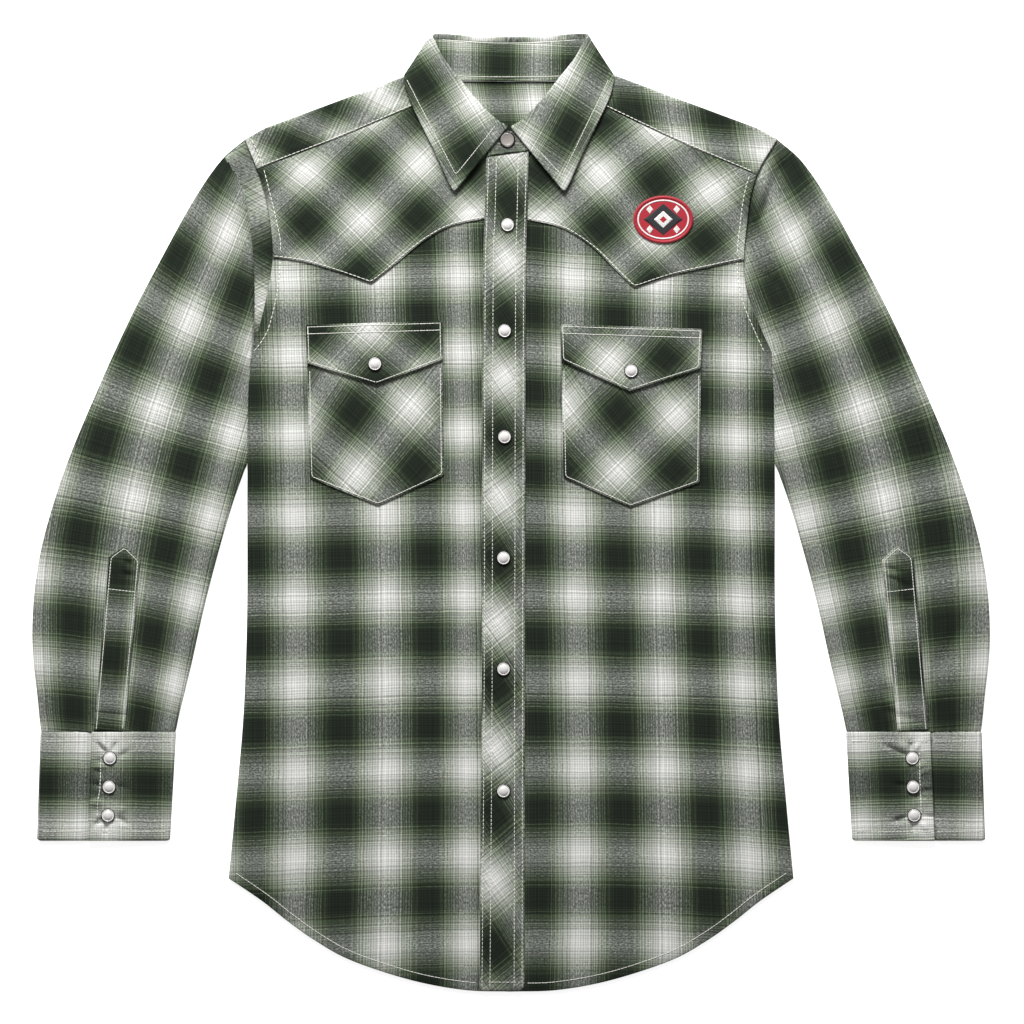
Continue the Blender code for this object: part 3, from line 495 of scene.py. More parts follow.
print("one check is", REPEAT, "mm, charted on", len(LAY), "pieces")


# %% [markdown]
# ## From a grid to a skin of cloth
# A panel is a grid of points through the middle of its cloth. Its two faces are that grid moved
# half a thickness along its normals, and a rounded rim joins them, as a turned edge does. Solidify
# would do the same, but here the rim's roundness and the grain of each face are set as they are made.

# %% Skins
def add_mesh(name, points, faces, finishes, uv=None, which=None):
    """One object from points in millimetres and a table or list of faces, placed by its mesh."""
    mesh = bpy.data.meshes.new(name)
    faces = faces if isinstance(faces, list) else faces.tolist()
    mesh.from_pydata((np.asarray(points) * MM).tolist(), [], faces)
    for finish in finishes:
        mesh.materials.append(finish)
    if uv is not None:
        mesh.uv_layers.new(name="grain").data.foreach_set("uv", np.ravel(uv).astype(np.float32))
    if which is not None:
        mesh.polygons.foreach_set("material_index", np.asarray(which, np.int32))
    mesh.shade_smooth()
    piece = bpy.data.objects.new(name, mesh)
    bpy.context.scene.collection.objects.link(piece)
    return piece


def skin(name, middle, cloth, thickness, finish, around=False):
    """A closed wall of a thickness round a grid of middle points, with cloth as the grain at the
    corners of each cell. With around, each row closes on itself. Cells with a missing point are
    left out."""
    rows, columns = middle.shape[:2]
    index = np.arange(rows * columns).reshape(rows, columns)
    after = np.roll(index, -1, axis=1)
    quads = np.stack([index[:-1], after[:-1], after[1:], index[1:]], axis=-1)
    quads = (quads if around else quads[:, :-1]).reshape(-1, 4)
    uv = cloth.reshape(-1, 4, 2)
    flat = middle.reshape(-1, 3)
    whole = np.isfinite(flat[quads]).all(axis=(1, 2))
    used, quads = np.unique(quads[whole], return_inverse=True)
    quads, uv, flat = quads.reshape(-1, 4), uv[whole], flat[used]

    a, b, c, d = (flat[quads[:, k]] for k in range(4))
    facing, normals = np.cross(c - a, d - b), np.zeros_like(flat)
    for k in range(4):
        np.add.at(normals, quads[:, k], facing)
    normals = unit(normals)

    size = len(flat)
    ends = np.concatenate([quads[:, [k, (k + 1) % 4]] for k in range(4)])
    end_uv = np.concatenate([uv[:, [k, (k + 1) % 4]] for k in range(4)])
    bare = ~np.isin(ends[:, 0] * size + ends[:, 1], ends[:, 1] * size + ends[:, 0])
    rim, rim_uv = ends[bare], end_uv[bare]
    p, q = rim[:, 0], rim[:, 1]
    away = unit(np.cross(flat[q] - flat[p], normals[p]))
    outward = np.zeros_like(flat)
    np.add.at(outward, p, away)
    np.add.at(outward, q, away)
    edge = np.unique(rim)
    beside = np.setdiff1d(quads[np.isin(quads, edge).any(axis=1)], edge)
    half = np.full((size, 1), thickness / 2)
    half[edge] *= 0.4
    half[beside] *= 0.8
    middle_of = np.full(size, -1)
    middle_of[edge] = 2 * size + np.arange(len(edge))
    points = np.concatenate([
        flat + normals * half,
        flat - normals * half,
        flat[edge] + unit(outward[edge]) * thickness * 0.25,
    ])
    faces = np.concatenate([
        quads, (quads + size)[:, ::-1],
        np.stack([p, middle_of[p], middle_of[q], q], axis=1),
        np.stack([middle_of[p], size + p, size + q, middle_of[q]], axis=1),
    ])
    rims = rim_uv[:, [0, 0, 1, 1]]
    return add_mesh(name, points, faces, [finish], np.concatenate([uv, uv[:, ::-1], rims, rims]))


# %% [markdown]
# ## Brushed flannel, yarn dyed
# The cloth is a shadow check: dark pine blocks, ombre bands of olive and sage, bone and white, with
# single pale threads between them. Warp and weft carry the same stripes. Where a pale thread
# crosses a dark one the eye sees specks of both, so colours can't just be multiplied: the mean is
# taken after a power of a third, which comes closest to how such a cloth reads, and a fine streaky
# noise says which of the two is on top, drawn out along whichever yarn is paler. Napping the cloth
# gives it its dull, soft surface. A picture of a check could be wrapped on instead, but stripes
# worked out from thread counts stay sharp and follow any grain.

# %% Colours
def linear(colour):
    """An sRGB hex colour as linear red, green, blue and alpha: below a small value it is divided by
    12.92, above it raised to the power 2.4."""
    values = np.array([int(colour[k:k + 2], 16) for k in (0, 2, 4)]) / 255
    values = np.where(values < 0.04045, values / 12.92, ((values + 0.055) / 1.055) ** 2.4)
    return (*values.tolist(), 1.0)


SHADES = (  # mm from the middle of a dark block, colour there, how far its threads differ
    (0.0, "20271f", 0.08), (6.4, "20271f", 0.08), (7.8, "242b22", 0.1), (9.5, "2b3328", 0.13),
    (12.9, "353f2f", 0.14), (14.6, "3f4a37", 0.15), (16.3, "515c49", 0.17), (18.1, "6b7363", 0.18),
    (21.5, "81897a", 0.17), (25.0, "8e9389", 0.15), (26.7, "a4a7a0", 0.13), (28.4, "b8bab4", 0.11),
    (30.1, "c4c4bf", 0.09), (33.5, "d2d3ce", 0.08), (37.0, "e2e1de", 0.07),
)
LINES = (  # single threads: mm from the middle of a dark block, width, colour
    (11.3, 0.5, "55614a"), (15.0, 0.55, "7f8a71"), (23.9, 0.5, "b4b9a6"),
)
print("half a check:", SHADES[-1][0], "mm,", len(SHADES), "shades and", len(LINES), "single threads")


# %% [markdown]
# ## Short names for shading steps
# Every finish here is a few layers of noise and arithmetic. Short names for those steps keep each
# one readable, and they only add nodes and link them.

# %% Nodes
def fill(tree, made, inputs):
    """Links each named input to a socket, or gives it its value."""
    for socket, value in inputs.items():
        if isinstance(value, bpy.types.NodeSocket):
            tree.links.new(value, made.inputs[socket])
        else:
            made.inputs[socket].default_value = value


def node(tree, kind, inputs, **settings):
    """Adds a node, gives it its settings, and links or fills its inputs."""
    made = tree.nodes.new("ShaderNode" + kind)
    for name, value in settings.items():
        setattr(made, name, value)
    fill(tree, made, inputs)
    return made


def calculate(tree, operation, *values):
    """One step of arithmetic on numbers."""
    return node(tree, "Math", dict(enumerate(values)), operation=operation).outputs[0]


def combine(tree, operation, one, other):
    """One step of arithmetic on vectors."""
    return node(tree, "VectorMath", {0: one, 1: other}, operation=operation).outputs[0]


def scaled(tree, vector, factor):
    """A vector or a colour times a number."""
    return node(tree, "VectorMath", {0: vector, "Scale": factor}, operation="SCALE").outputs[0]


def noise(tree, place, scale, detail, **more):
    """Soft noise in space, the same on every run."""
    return node(tree, "TexNoise", {"Vector": place, "Scale": scale, "Detail": detail, **more}).outputs[0]


def noise_along(tree, along, scale, detail):
    """Soft noise of one number, so that it runs on along a thread."""
    inputs = {"W": along, "Scale": scale, "Detail": detail}
    return node(tree, "TexNoise", inputs, noise_dimensions="1D").outputs[0]


def spread(tree, value, low, high, start=0.3, end=0.7):
    """Maps what lies from start to end, as most noise does, to what lies from low to high."""
    return node(tree, "MapRange", {0: value, 1: start, 2: end, 3: low, 4: high}).outputs[0]


def blended(tree, part, one, other):
    """A colour between two, by the part of the second."""
    return node(tree, "Mix", {0: part, 6: one, 7: other}, data_type="RGBA").outputs[2]


def new_finish(name):
    """An empty material, its node tree and its shader."""
    finish = bpy.data.materials.new(name)
    finish.use_nodes = True
    return finish, finish.node_tree, finish.node_tree.nodes["Principled BSDF"]


def own_noise(tree, scale, **more):
    """Noise fixed to the object itself."""
    return noise(tree, node(tree, "TexCoord", {}).outputs["Object"], scale, 2.0, **more)


def toned(name, colour, scale, low, high, surface):
    """A finish of one colour that noise makes lighter and darker by turns."""
    finish, tree, shader = new_finish(name)
    tone = spread(tree, own_noise(tree, scale), low, high)
    fill(tree, shader, {"Base Color": scaled(tree, linear(colour)[:3], tone), **surface})
    return finish


# %% [markdown]
# ## The sett and the flannel
# A weaver writes a check as a sett: colours and thread counts from the middle of one block to the
# middle of the next, then back again. The ramp here is that sett, and the same one serves warp and
# weft. Napping raises short fibres, so the bump is a faint twill under fuzz.

# %% Sett and flannel
WANDER = 0.0016  # how far a yarn strays from its line, in metres
PAIR = 0.0023  # width of a light and a dark thread together, in metres
STREAK = (900.0, 430.0)  # streaks a metre across a yarn and along it


def stripes(tree, place):
    """The sett as a ramp: the place is folded back and forth between dark and white middles. The
    ramp's alpha says how far neighbouring threads differ."""
    repeats = calculate(tree, "MULTIPLY", place, 1 / (REPEAT * MM))
    folded = calculate(tree, "PINGPONG", repeats, 0.5)
    ramp = node(tree, "ValToRGB", {0: calculate(tree, "MULTIPLY", folded, 2.0)})
    whole = SHADES[-1][0]
    places, shades, contrasts = (list(column) for column in zip(*SHADES))
    colours = np.array([linear(shade)[:3] for shade in shades])
    rows = [(at, tuple(colour), contrast) for at, colour, contrast in zip(places, colours, contrasts)]
    for at, width, colour in LINES:
        contrast = float(np.interp(at, places, contrasts))
        for side in (-1, 1):
            beside = at + side * (width / 2 + 0.15)
            rows.append((beside, tuple(np.interp(beside, places, c) for c in colours.T), contrast))
            rows.append((at + side * width / 2, linear(colour)[:3], contrast))
    rows.sort()
    stops = ramp.color_ramp.elements
    stops.remove(stops[1])
    for k, (at, colour, contrast) in enumerate(rows):
        stop = stops[0] if k == 0 else stops.new(at / whole)
        stop.color = (*colour, contrast)
    return ramp


def flannel(name, least=0.3, most=0.75):
    """Checked, napped flannel. Least and most say how much of the face the warp takes."""
    finish, tree, shader = new_finish(name)
    place = node(tree, "UVMap", {}, uv_map="grain").outputs[0]

    # spun yarn isn't dead straight: each stripe wanders by a few tenths of a millimetre
    wander = node(tree, "TexNoise", {"Vector": place, "Scale": 45.0, "Detail": 1.0}).outputs["Color"]
    strayed = scaled(tree, combine(tree, "SUBTRACT", wander, (0.5, 0.5, 0.5)), WANDER)
    woven = node(tree, "SeparateXYZ", {0: combine(tree, "ADD", place, strayed)})

    # light and dark threads by turns, each pair a little different
    sides = []
    for along in woven.outputs[:2]:
        ramp = stripes(tree, along)
        turns = calculate(tree, "MULTIPLY", along, 2 * math.pi / PAIR)
        drifting = calculate(tree, "MULTIPLY_ADD", noise_along(tree, along, 160.0, 0.0), 7.0, turns)
        pair = calculate(tree, "MULTIPLY", calculate(tree, "SINE", drifting), 1.2)
        uneven = spread(tree, noise_along(tree, along, 430.0, 2.0), -1.0, 1.0)
        both = calculate(tree, "ADD", pair, uneven)
        shade = calculate(tree, "MULTIPLY_ADD", both, ramp.outputs["Alpha"], 1.0)
        colour = node(tree, "Gamma", {0: ramp.outputs["Color"], 1: 1 / 3}).outputs[0]
        sides.append(scaled(tree, colour, shade))

    # which yarn is on top, in short streaks along the paler one
    streaks = [
        noise(tree, combine(tree, "MULTIPLY", place, (*stretch, 1.0)), 1.0, 1.5, Roughness=0.6)
        for stretch in (STREAK, STREAK[::-1])
    ]
    greys = [node(tree, "RGBToBW", {0: side}).outputs[0] for side in sides]
    paler = spread(tree, calculate(tree, "SUBTRACT", *greys), 0.0, 1.0, -0.15, 0.15)
    streak = node(tree, "Mix", {0: paler, 2: streaks[1], 3: streaks[0]}).outputs[0]
    checked = blended(tree, spread(tree, streak, least, most), sides[1], sides[0])
    checked = node(tree, "Gamma", {0: checked, 1: 3.0}).outputs[0]

    # the nap lies in soft patches over a fine twill and its fuzz
    napped = scaled(tree, checked, spread(tree, noise(tree, place, 55.0, 3.0), 0.95, 1.05))
    twill = {"Vector": place, "Scale": 330.0, "Distortion": 1.5, "Detail": 1.0}
    ribs = node(tree, "TexWave", twill, bands_direction="DIAGONAL").outputs["Fac"]
    relief = node(tree, "Mix", {0: 0.5, 2: ribs, 3: noise(tree, place, 1500.0, 2.0)}).outputs[0]
    bump = node(tree, "Bump", {"Height": relief, "Strength": 0.35, "Distance": 0.0003}).outputs[0]
    fill(tree, shader, {
        "Base Color": napped, "Normal": bump, "Roughness": 0.92, "IOR": 1.45,
        "Specular IOR Level": 0.1, "Sheen Weight": 0.03, "Sheen Roughness": 0.5,
    })
    return finish


STRAIGHT = flannel("brushed_flannel_check")
BIAS = flannel("brushed_flannel_check_on_the_bias")
WEFT_UP = flannel("brushed_flannel_check_weft_up", 0.14, 0.56)
print("flannel:", STRAIGHT.name, BIAS.name, WEFT_UP.name)

# %% [markdown]
# ## Panels that stand for solids
# Every panel takes the place of the imported solid of its own name, and the name of its slot goes by its
# grain.
# What is known when it is made is kept in a list, and every panel is put on its body at the end.

# %% Panels
PIECES = []  # object, grid of its middle, closed round, CAD node, slot, what it lies on


def panel(name, node_name, middle, cloth, thickness, finish, rests, around=False):
    """A skin that stands for a solid."""
    piece = skin(name, middle, cloth, thickness, finish, around)
    slot = "flannel_bias" if finish is BIAS else "flannel_straight"
    PIECES.append((piece, middle, around, node_name, slot, rests))
    print(f"{name}: {len(piece.data.polygons) * 2} triangles")


def laid_panel(name, node_name, grid, layer, relief, finish, rests):
    """One ply laid over the upper cloth, charted under the name of its solid."""
    cloth = corners_of(grain(node_name, grid))
    panel(name, node_name, laid(grid, layer, relief), cloth, CLOTH, finish, rests)


# %% [markdown]
# ## Back and fronts
# The back lies flat on the table and shows only at the edges. Each front runs from its side seam to
# the middle, where the placket covers the meeting. Along the armhole the allowance is pressed
# towards the body and stitched down, so that strip stands higher than the sleeve beside it. Along
# the curved hem a narrow turned edge is stitched once.

# %% Back
SIDE_LONG, ARM_LONG, BACK_ARM_LONG = 455, 158, 107  # about how long side seam and armhole are
BACK_CLEAR = 0.8  # how far inside the armhole the back and its yoke end


def body_side(side, t_below, t_above, top_y, clear=0.0):
    """Side seam and armhole as one edge, from the hem's corner up."""
    seam = mirrored(curve(SIDE_SEAM, t_below), side)[::-1]
    return np.vstack([seam, armhole(side, ARMPIT_Y, top_y, t_above, clear)[1:]])


def back_seam(s, y):
    """The pointed seam between back and yoke. Its ends are at the height y."""
    right, left = (mirrored((armhole_x(side, y) - BACK_CLEAR, 0), side)[0] for side in SIDES)
    return np.stack([right + (left - right) * s, y - BACK_POINT * (1 - np.abs(2 * s - 1))], axis=1)


def make_back():
    t_below, t_above, s = even(64), even(16), parts(400, 7.0)
    seam_y = BACK_SEAM_Y - GAP
    edges = [body_side(side, t_below, t_above, seam_y, -BACK_CLEAR) for side in SIDES]
    half = curve(HEM, even(100))
    hem = resample(np.vstack([mirrored(half, "right"), mirrored(half[::-1], "left")[1:]]), s)
    t = joined_parts((SIDE_LONG, t_below), (BACK_ARM_LONG, t_above))
    grid = coons(hem, back_seam(s, seam_y), *edges, s, t)
    middle = np.concatenate([grid, np.full(grid.shape[:2] + (1,), CLOTH / 2)], axis=-1)
    panel("flat_back", "back", middle, corners_of(grain("back", grid)), CLOTH, STRAIGHT, ["floor"])


make_back()

# %% [markdown]
# ## Fronts
# Each front is a patch between its hem, its middle, its side and its top. The rows crowd together
# at the armpit and the hem, where the stitched edges ripple. Two mirrored fronts would be quicker,
# but a worn armhole never lies the same on both sides.

# %% Fronts
SEAM_LONG, NECK_LONG = 150, 86  # about how long forward seam and neckline are


def arm_band(x, y, side):
    """The pressed allowance beside the armhole."""
    return sewn_edge(x, y, ARM_LINE[side], seam=5.6, band=5.0, rise=0.45, pucker=0.22, seed=1.3)


def front_relief(x, y, side):
    hem = sewn_edge(x, y, HEM_LINE[side], seam=6.9, band=6.0, rise=0.28, pucker=0.3, seed=0.4)
    return arm_band(x, y, side) + hem


def make_front(side):
    middle_x = CENTRE_X + (-GAP / 2 if side == "right" else GAP / 2)
    seam_s, neck_s = parts(SEAM_LONG, 2.9), even(26)
    top = np.vstack([forward_seam(side, seam_s), neckline(side, neck_s)[1:]])
    t_below, t_above = parts(SIDE_LONG, 2.8)[:-4], parts(ARM_LONG, 2.8)[3:]
    t_below = t_below / t_below[-1]
    t_above = (t_above - t_above[0]) / (1 - t_above[0])
    edge = body_side(side, 1 - t_below[::-1], t_above, top[0, 1])
    top[0] = edge[-1]
    top[-1, 0] = middle_x
    s = joined_parts((SEAM_LONG, seam_s), (NECK_LONG, neck_s))
    hem = up_to(HEM_LINE[side], side, middle_x)
    hem = resample(np.vstack([hem, (middle_x, hem[-1, 1])]), s)
    t = joined_parts((SIDE_LONG, t_below), (ARM_LONG, t_above))
    grid = coons(hem, top, edge, between(hem[-1], top[-1], t), s, t)
    relief = front_relief(grid[..., 0], grid[..., 1], side)
    laid_panel(f"front_panel_{side}", f"front_{side}", grid, 0, relief, STRAIGHT, ["flat_back"])


for side in SIDES:
    make_front(side)


# %% [markdown]
# ## Yokes
# The back yoke is one doubled piece that folds over each shoulder and ends in the forward seam.
# Under the collar its inside shows. Each front yoke is cut on the bias and comes down in the western
# point. Both are turned in at their free edge and edge-stitched, so the edge is a soft bright ridge
# with a thin shadow under it.

# %% Yoke over the shoulders
YOKE_RADIUS = (2 * STEP + CLOTH / 2 - FUSED / 2) / 2  # of the turn over the shoulder


def shoulder_axis(side, places):
    """The line that the yoke turns round at one shoulder, and the way out from it."""
    tip, corner = mirrored(SHOULDER_TIP, side), mirrored(NECK_CORNER, side)
    normal = unit(np.array([-(corner - tip)[1], (corner - tip)[0]]))
    outward = normal * np.sign(normal[1])
    swell = 2.5 * smooth(places / 0.14) * (1 - 0.3 * places)
    return between(tip, corner, places) + outward * (swell[:, None] - YOKE_RADIUS - FUSED / 2), outward


def over_shoulder(side, places, arc, front_t):
    """Rows from the fold to the forward seam, in space and rolled out flat."""
    line, outward = shoulder_axis(side, places)
    swollen = FOLD_SWELL * free(*line.T) * smooth(places / 0.08)
    rows = []
    for angle in arc:
        z = FUSED / 2 + (YOKE_RADIUS + swollen / 2) * (1 + math.sin(angle))
        rows.append(np.column_stack([line + outward * YOKE_RADIUS * math.cos(angle), z]))
    xy = line + (forward_seam(side, places, GAP * 0.5) - line) * front_t[:, None, None]
    arm_x = mirrored(np.stack([armhole_x(side, xy[:, 0, 1]), xy[:, 0, 1]], axis=1), side)[:, 0]
    xy[..., 0] += np.exp(-np.arange(len(line)) / 2.0) * (arm_x - xy[:, 0, 0])[:, None]
    x, y = xy[..., 0], xy[..., 1]
    edge = sewn_edge(x, y, FORWARD_LINE[side], seam=1.9, band=6.0, rise=0.5) + arm_band(x, y, side)
    edge = edge * smooth(front_t[:, None] / 0.3) + swollen * bell(np.linalg.norm(xy - line, axis=-1), 9.0)
    rolled_out = line + (YOKE_RADIUS * (math.pi / 2 - arc))[:, None, None] * outward
    return np.concatenate([np.array(rows), laid(xy, 1, edge)]), np.concatenate([rolled_out, xy])


def make_yoke():
    """A grid with a column for each place across the shoulders: the flat back part first, then the
    turn over the fold, then the front part. Columns at the neck stop at the neckline."""
    places, arc = parts(155, 2.4), np.radians(np.linspace(-90, 90, 11))[1:]
    back_t, front_t = parts(120, 5.0, 0.8), parts(30, 1.4, 0.5)[1:]
    axes = [shoulder_axis(side, places)[0] for side in SIDES]
    neck = [mirrored(curve(BACK_NECK, even(30)), side) + (COLLAR_X, 0) for side in SIDES]
    top = np.vstack([axes[0], neck[0][1:], neck[1][-2:0:-1], axes[1][::-1]])
    s = lengths_along(top)
    s /= s[-1]
    edges = []
    for side, end in zip(SIDES, (top[0], top[-1])):
        edge = armhole(side, BACK_SEAM_Y, end[1], back_t, -BACK_CLEAR)
        edge[-1] = end
        edges.append(edge)
    flat = coons(back_seam(s, BACK_SEAM_Y), top, *edges, s, back_t)
    over = np.full((len(arc) + len(front_t), len(top), 3), np.nan)
    rolled_out = over[..., :2].copy()
    for side, way in zip(SIDES, (1, -1)):
        rows, flat_rows = over_shoulder(side, places, arc, front_t)
        over[:, ::way][:, :len(places)] = rows
        rolled_out[:, ::way][:, :len(places)] = flat_rows
    middle = np.concatenate([np.dstack([flat, np.full(flat.shape[:2], FUSED / 2)]), over])
    charted = np.nan_to_num(np.concatenate([flat, rolled_out]))
    cloth = corners_of(grain("yoke_inside", middle))
    first, half = len(back_t) + 1, len(top) // 2  # from this row on the yoke shows its outside
    for side, chosen in zip(SIDES, (slice(0, half), slice(half, None))):
        cloth[first:, chosen] = corners_of(grain(f"yoke_{side}", charted))[first:, chosen]
    panel("shoulder_yoke", "yoke", middle, np.nan_to_num(cloth), FUSED, BIAS,
          ["flat_back", "front_yoke_skin_right"])


make_yoke()


# %% [markdown]
# ## Front yokes
# Each pointed yoke is laid on its front, on the bias, so its check runs as diamonds. Its edge is
# turned under and stitched, and it sinks a little where the forward seam crosses its top.

# %% Front yokes
YOKE_OUTER_LONG, YOKE_INNER_LONG = 90, 125  # about how long the edge is on each side of the point


def front_yoke_edge(side, where_outer, where_inner):
    outer, inner = curve(YOKE_OUTER[side], where_outer), curve(YOKE_INNER[side], where_inner)
    return np.vstack([outer, inner[1:]])


YOKE_LINE = {side: front_yoke_edge(side, even(40), even(60)) for side in SIDES}


def yoke_relief(x, y, side):
    edge = sewn_edge(x, y, YOKE_LINE[side], seam=1.3, rise=0.32, seed=2.2)
    return edge + arm_band(x, y, side) - 0.35 * bell(nearest(x, y, FORWARD_LINE[side])[0], 1.6)


def make_front_yoke(side):
    outer_s, inner_s, t = parts(YOKE_OUTER_LONG, 2.0), parts(YOKE_INNER_LONG, 2.0), parts(82, 2.0)
    s = joined_parts((YOKE_OUTER_LONG, outer_s), (YOKE_INNER_LONG, inner_s))
    last = YOKE_INNER[side][-1][0]
    top = resample(np.vstack([FORWARD_LINE[side], neckline(side, even(40), last)[1:]]), s)
    top[-1, 0] = last
    bottom = front_yoke_edge(side, outer_s, inner_s)
    edge = armhole(side, bottom[0, 1], top[0, 1], t)
    bottom[0], top[0] = edge[0], edge[-1]
    grid = coons(bottom, top, edge, between(bottom[-1], top[-1], t), s, t)
    relief = yoke_relief(grid[..., 0], grid[..., 1], side)
    name, under = f"front_yoke_skin_{side}", f"front_panel_{side}"
    laid_panel(name, f"front_yoke_{side}", grid, 1, relief, BIAS, [under])


for side in SIDES:
    make_front_yoke(side)


# %% [markdown]
# ## Placket
# The snap placket is a bias band folded in at both sides, with two rows of stitches down each side.
# The rows hold the folded allowances, so the band is thicker there and a little hollow between.

# %% Placket
PLACKET_SNAPS = (
    (-3.0, 246.8), (-5.6, 155.7), (-5.6, 64.5), (-6.5, -39.6), (-6.5, -135.0), (-6.5, -239.9),
)
STITCH_ROWS = (1.8, 8.6)  # from each edge of the placket


def placket_layer(y):
    """Plies under the placket: one over the fronts, two over the yokes."""
    high, low = PLACKET_DROP_Y
    return 1 + smooth((y - low) / (high - low))


def placket_edges(where):
    rows = np.array(PLACKET)
    return curve(rows[:, [1, 0]], where), curve(rows[:, [3, 2]], where)


def placket_relief(x, y):
    """Folded allowances down both sides, troughs under the stitches, and a dent at each snap."""
    height = np.zeros(np.shape(x))
    for k, line in enumerate(placket_edges(even(120))):
        far, along = nearest(x, y, line)
        height += 0.32 * (1 - smooth((far - 8.0) / 2.0)) * (1 + 0.6 * ripple(along, k))
        for row in STITCH_ROWS:
            height -= 0.26 * bell(far - row, 0.9) * (1 + 0.5 * ripple(along * 1.3, row))
    for sx, sy in PLACKET_SNAPS:
        folds = 1 + 0.4 * np.sin(3 * np.arctan2(y - sy, x - sx))
        height -= 0.35 * bell(np.hypot(x - sx, y - sy), 9.0) * folds
    return height


def make_placket():
    t, s = parts(716, 1.9), parts(37, 1.6, 0.4)
    right, left = placket_edges(t)
    grid = right[:, None] + (left - right)[:, None] * s[None, :, None]
    soften(grid, 3.0, [(-1, 0)])
    soften(grid, 5.0, [(-1, -1)])
    x, y = grid[..., 0], grid[..., 1]
    laid_panel("snap_placket", "placket", grid, placket_layer(y), placket_relief(x, y), BIAS,
               ["front_panel_right", "front_panel_left"])


make_placket()

# %% [markdown]
# ## Sleeves
# A sleeve is a tube pressed flat: two layers joined by a soft fold at each side. Its head is set in
# the armhole, and above the armpit the spare width of the upper layer rolls over on itself, so the
# cloth beside the seam lies in a step, lower than the rest and with its own run of the check.

# %% Sleeves
ROLL_EDGE = {  # the edge of the roll, from the sleeve's head to the armpit
    "right": ((-241.0, 297.0), (-234.5, 285.0), (-229.4, 273.0), (-226.8, 257.5), (-224.8, 239.0),
              (-222.4, 220.5), (-221.6, 197.0), (-221.5, 170.5), (-222.6, 144.0), (-224.8, 122.0)),
    "left": ((240.0, 215.0), (229.0, 196.0), (227.6, 184.0), (227.4, 172.0), (226.6, 151.0),
             (225.6, 122.0)),
}
ROLL_LINE = {side: curve(ROLL_EDGE[side], even(80)) for side in SIDES}
ROLL_TOP = {"right": (304.0, 272.0), "left": (214.0, 182.0)}  # the step fades in between these heights
ROLL_RISE = {"right": 3.0, "left": 2.4}
TURN = np.array([60, 30, 0, -30, -60])  # angles of the points round a fold
CROWD = np.array([0.72, 0.45, 0.15])[:, None]  # how far the points beside a fold are drawn to it


def roll_over(x, y, side):
    """How far a point is past the roll's edge, on the armhole's side, and how strong the step is
    there: a signed distance, and a fade with height."""
    line = ROLL_LINE[side]
    edge_x = np.interp(-y, -line[:, 1], line[:, 0])
    past = nearest(x, y, line)[0] * np.where(np.abs(x) < np.abs(edge_x), 1, -1)
    top, full = ROLL_TOP[side]
    return past, smooth((top - y) / (top - full)) * smooth((y - 112.0) / 20.0)


def sleeve_relief(x, y, side):
    """The roll's step, the dip at the armhole's seam, and the gathers above the cuff."""
    past, strength = roll_over(x, y, side)
    soft = 2.4 + 8.0 * smooth((y - 222.0) / 34.0)
    step = ROLL_RISE[side] * smooth((1.0 - past) / soft) * bell(np.minimum(past, 0), 30.0)
    sunk = -0.6 * smooth((past + 1.0) / 4.0)
    seam, along = nearest(x, y, ARM_LINE[side])
    dip = -0.7 * bell(seam, 3.0) + 0.12 * ripple(along, 0.7) * bell(seam, 7.0)
    cuff = 0.75 * ripple(np.abs(x) * 1.1, 2.0) * bell(y + 189.0, 14.0)
    return (step + sunk) * strength + dip + cuff


def fold_points(end, way, radius, low, angles):
    """Points round one fold of the tube, in every row."""
    arc = np.radians(angles)[None, :, None]
    xy = end[:, None] + way[:, None] * radius * np.cos(arc)
    z = np.broadcast_to(low + radius * (1 + np.sin(arc)), xy.shape[:2] + (1,))
    return np.concatenate([xy, z], axis=-1)


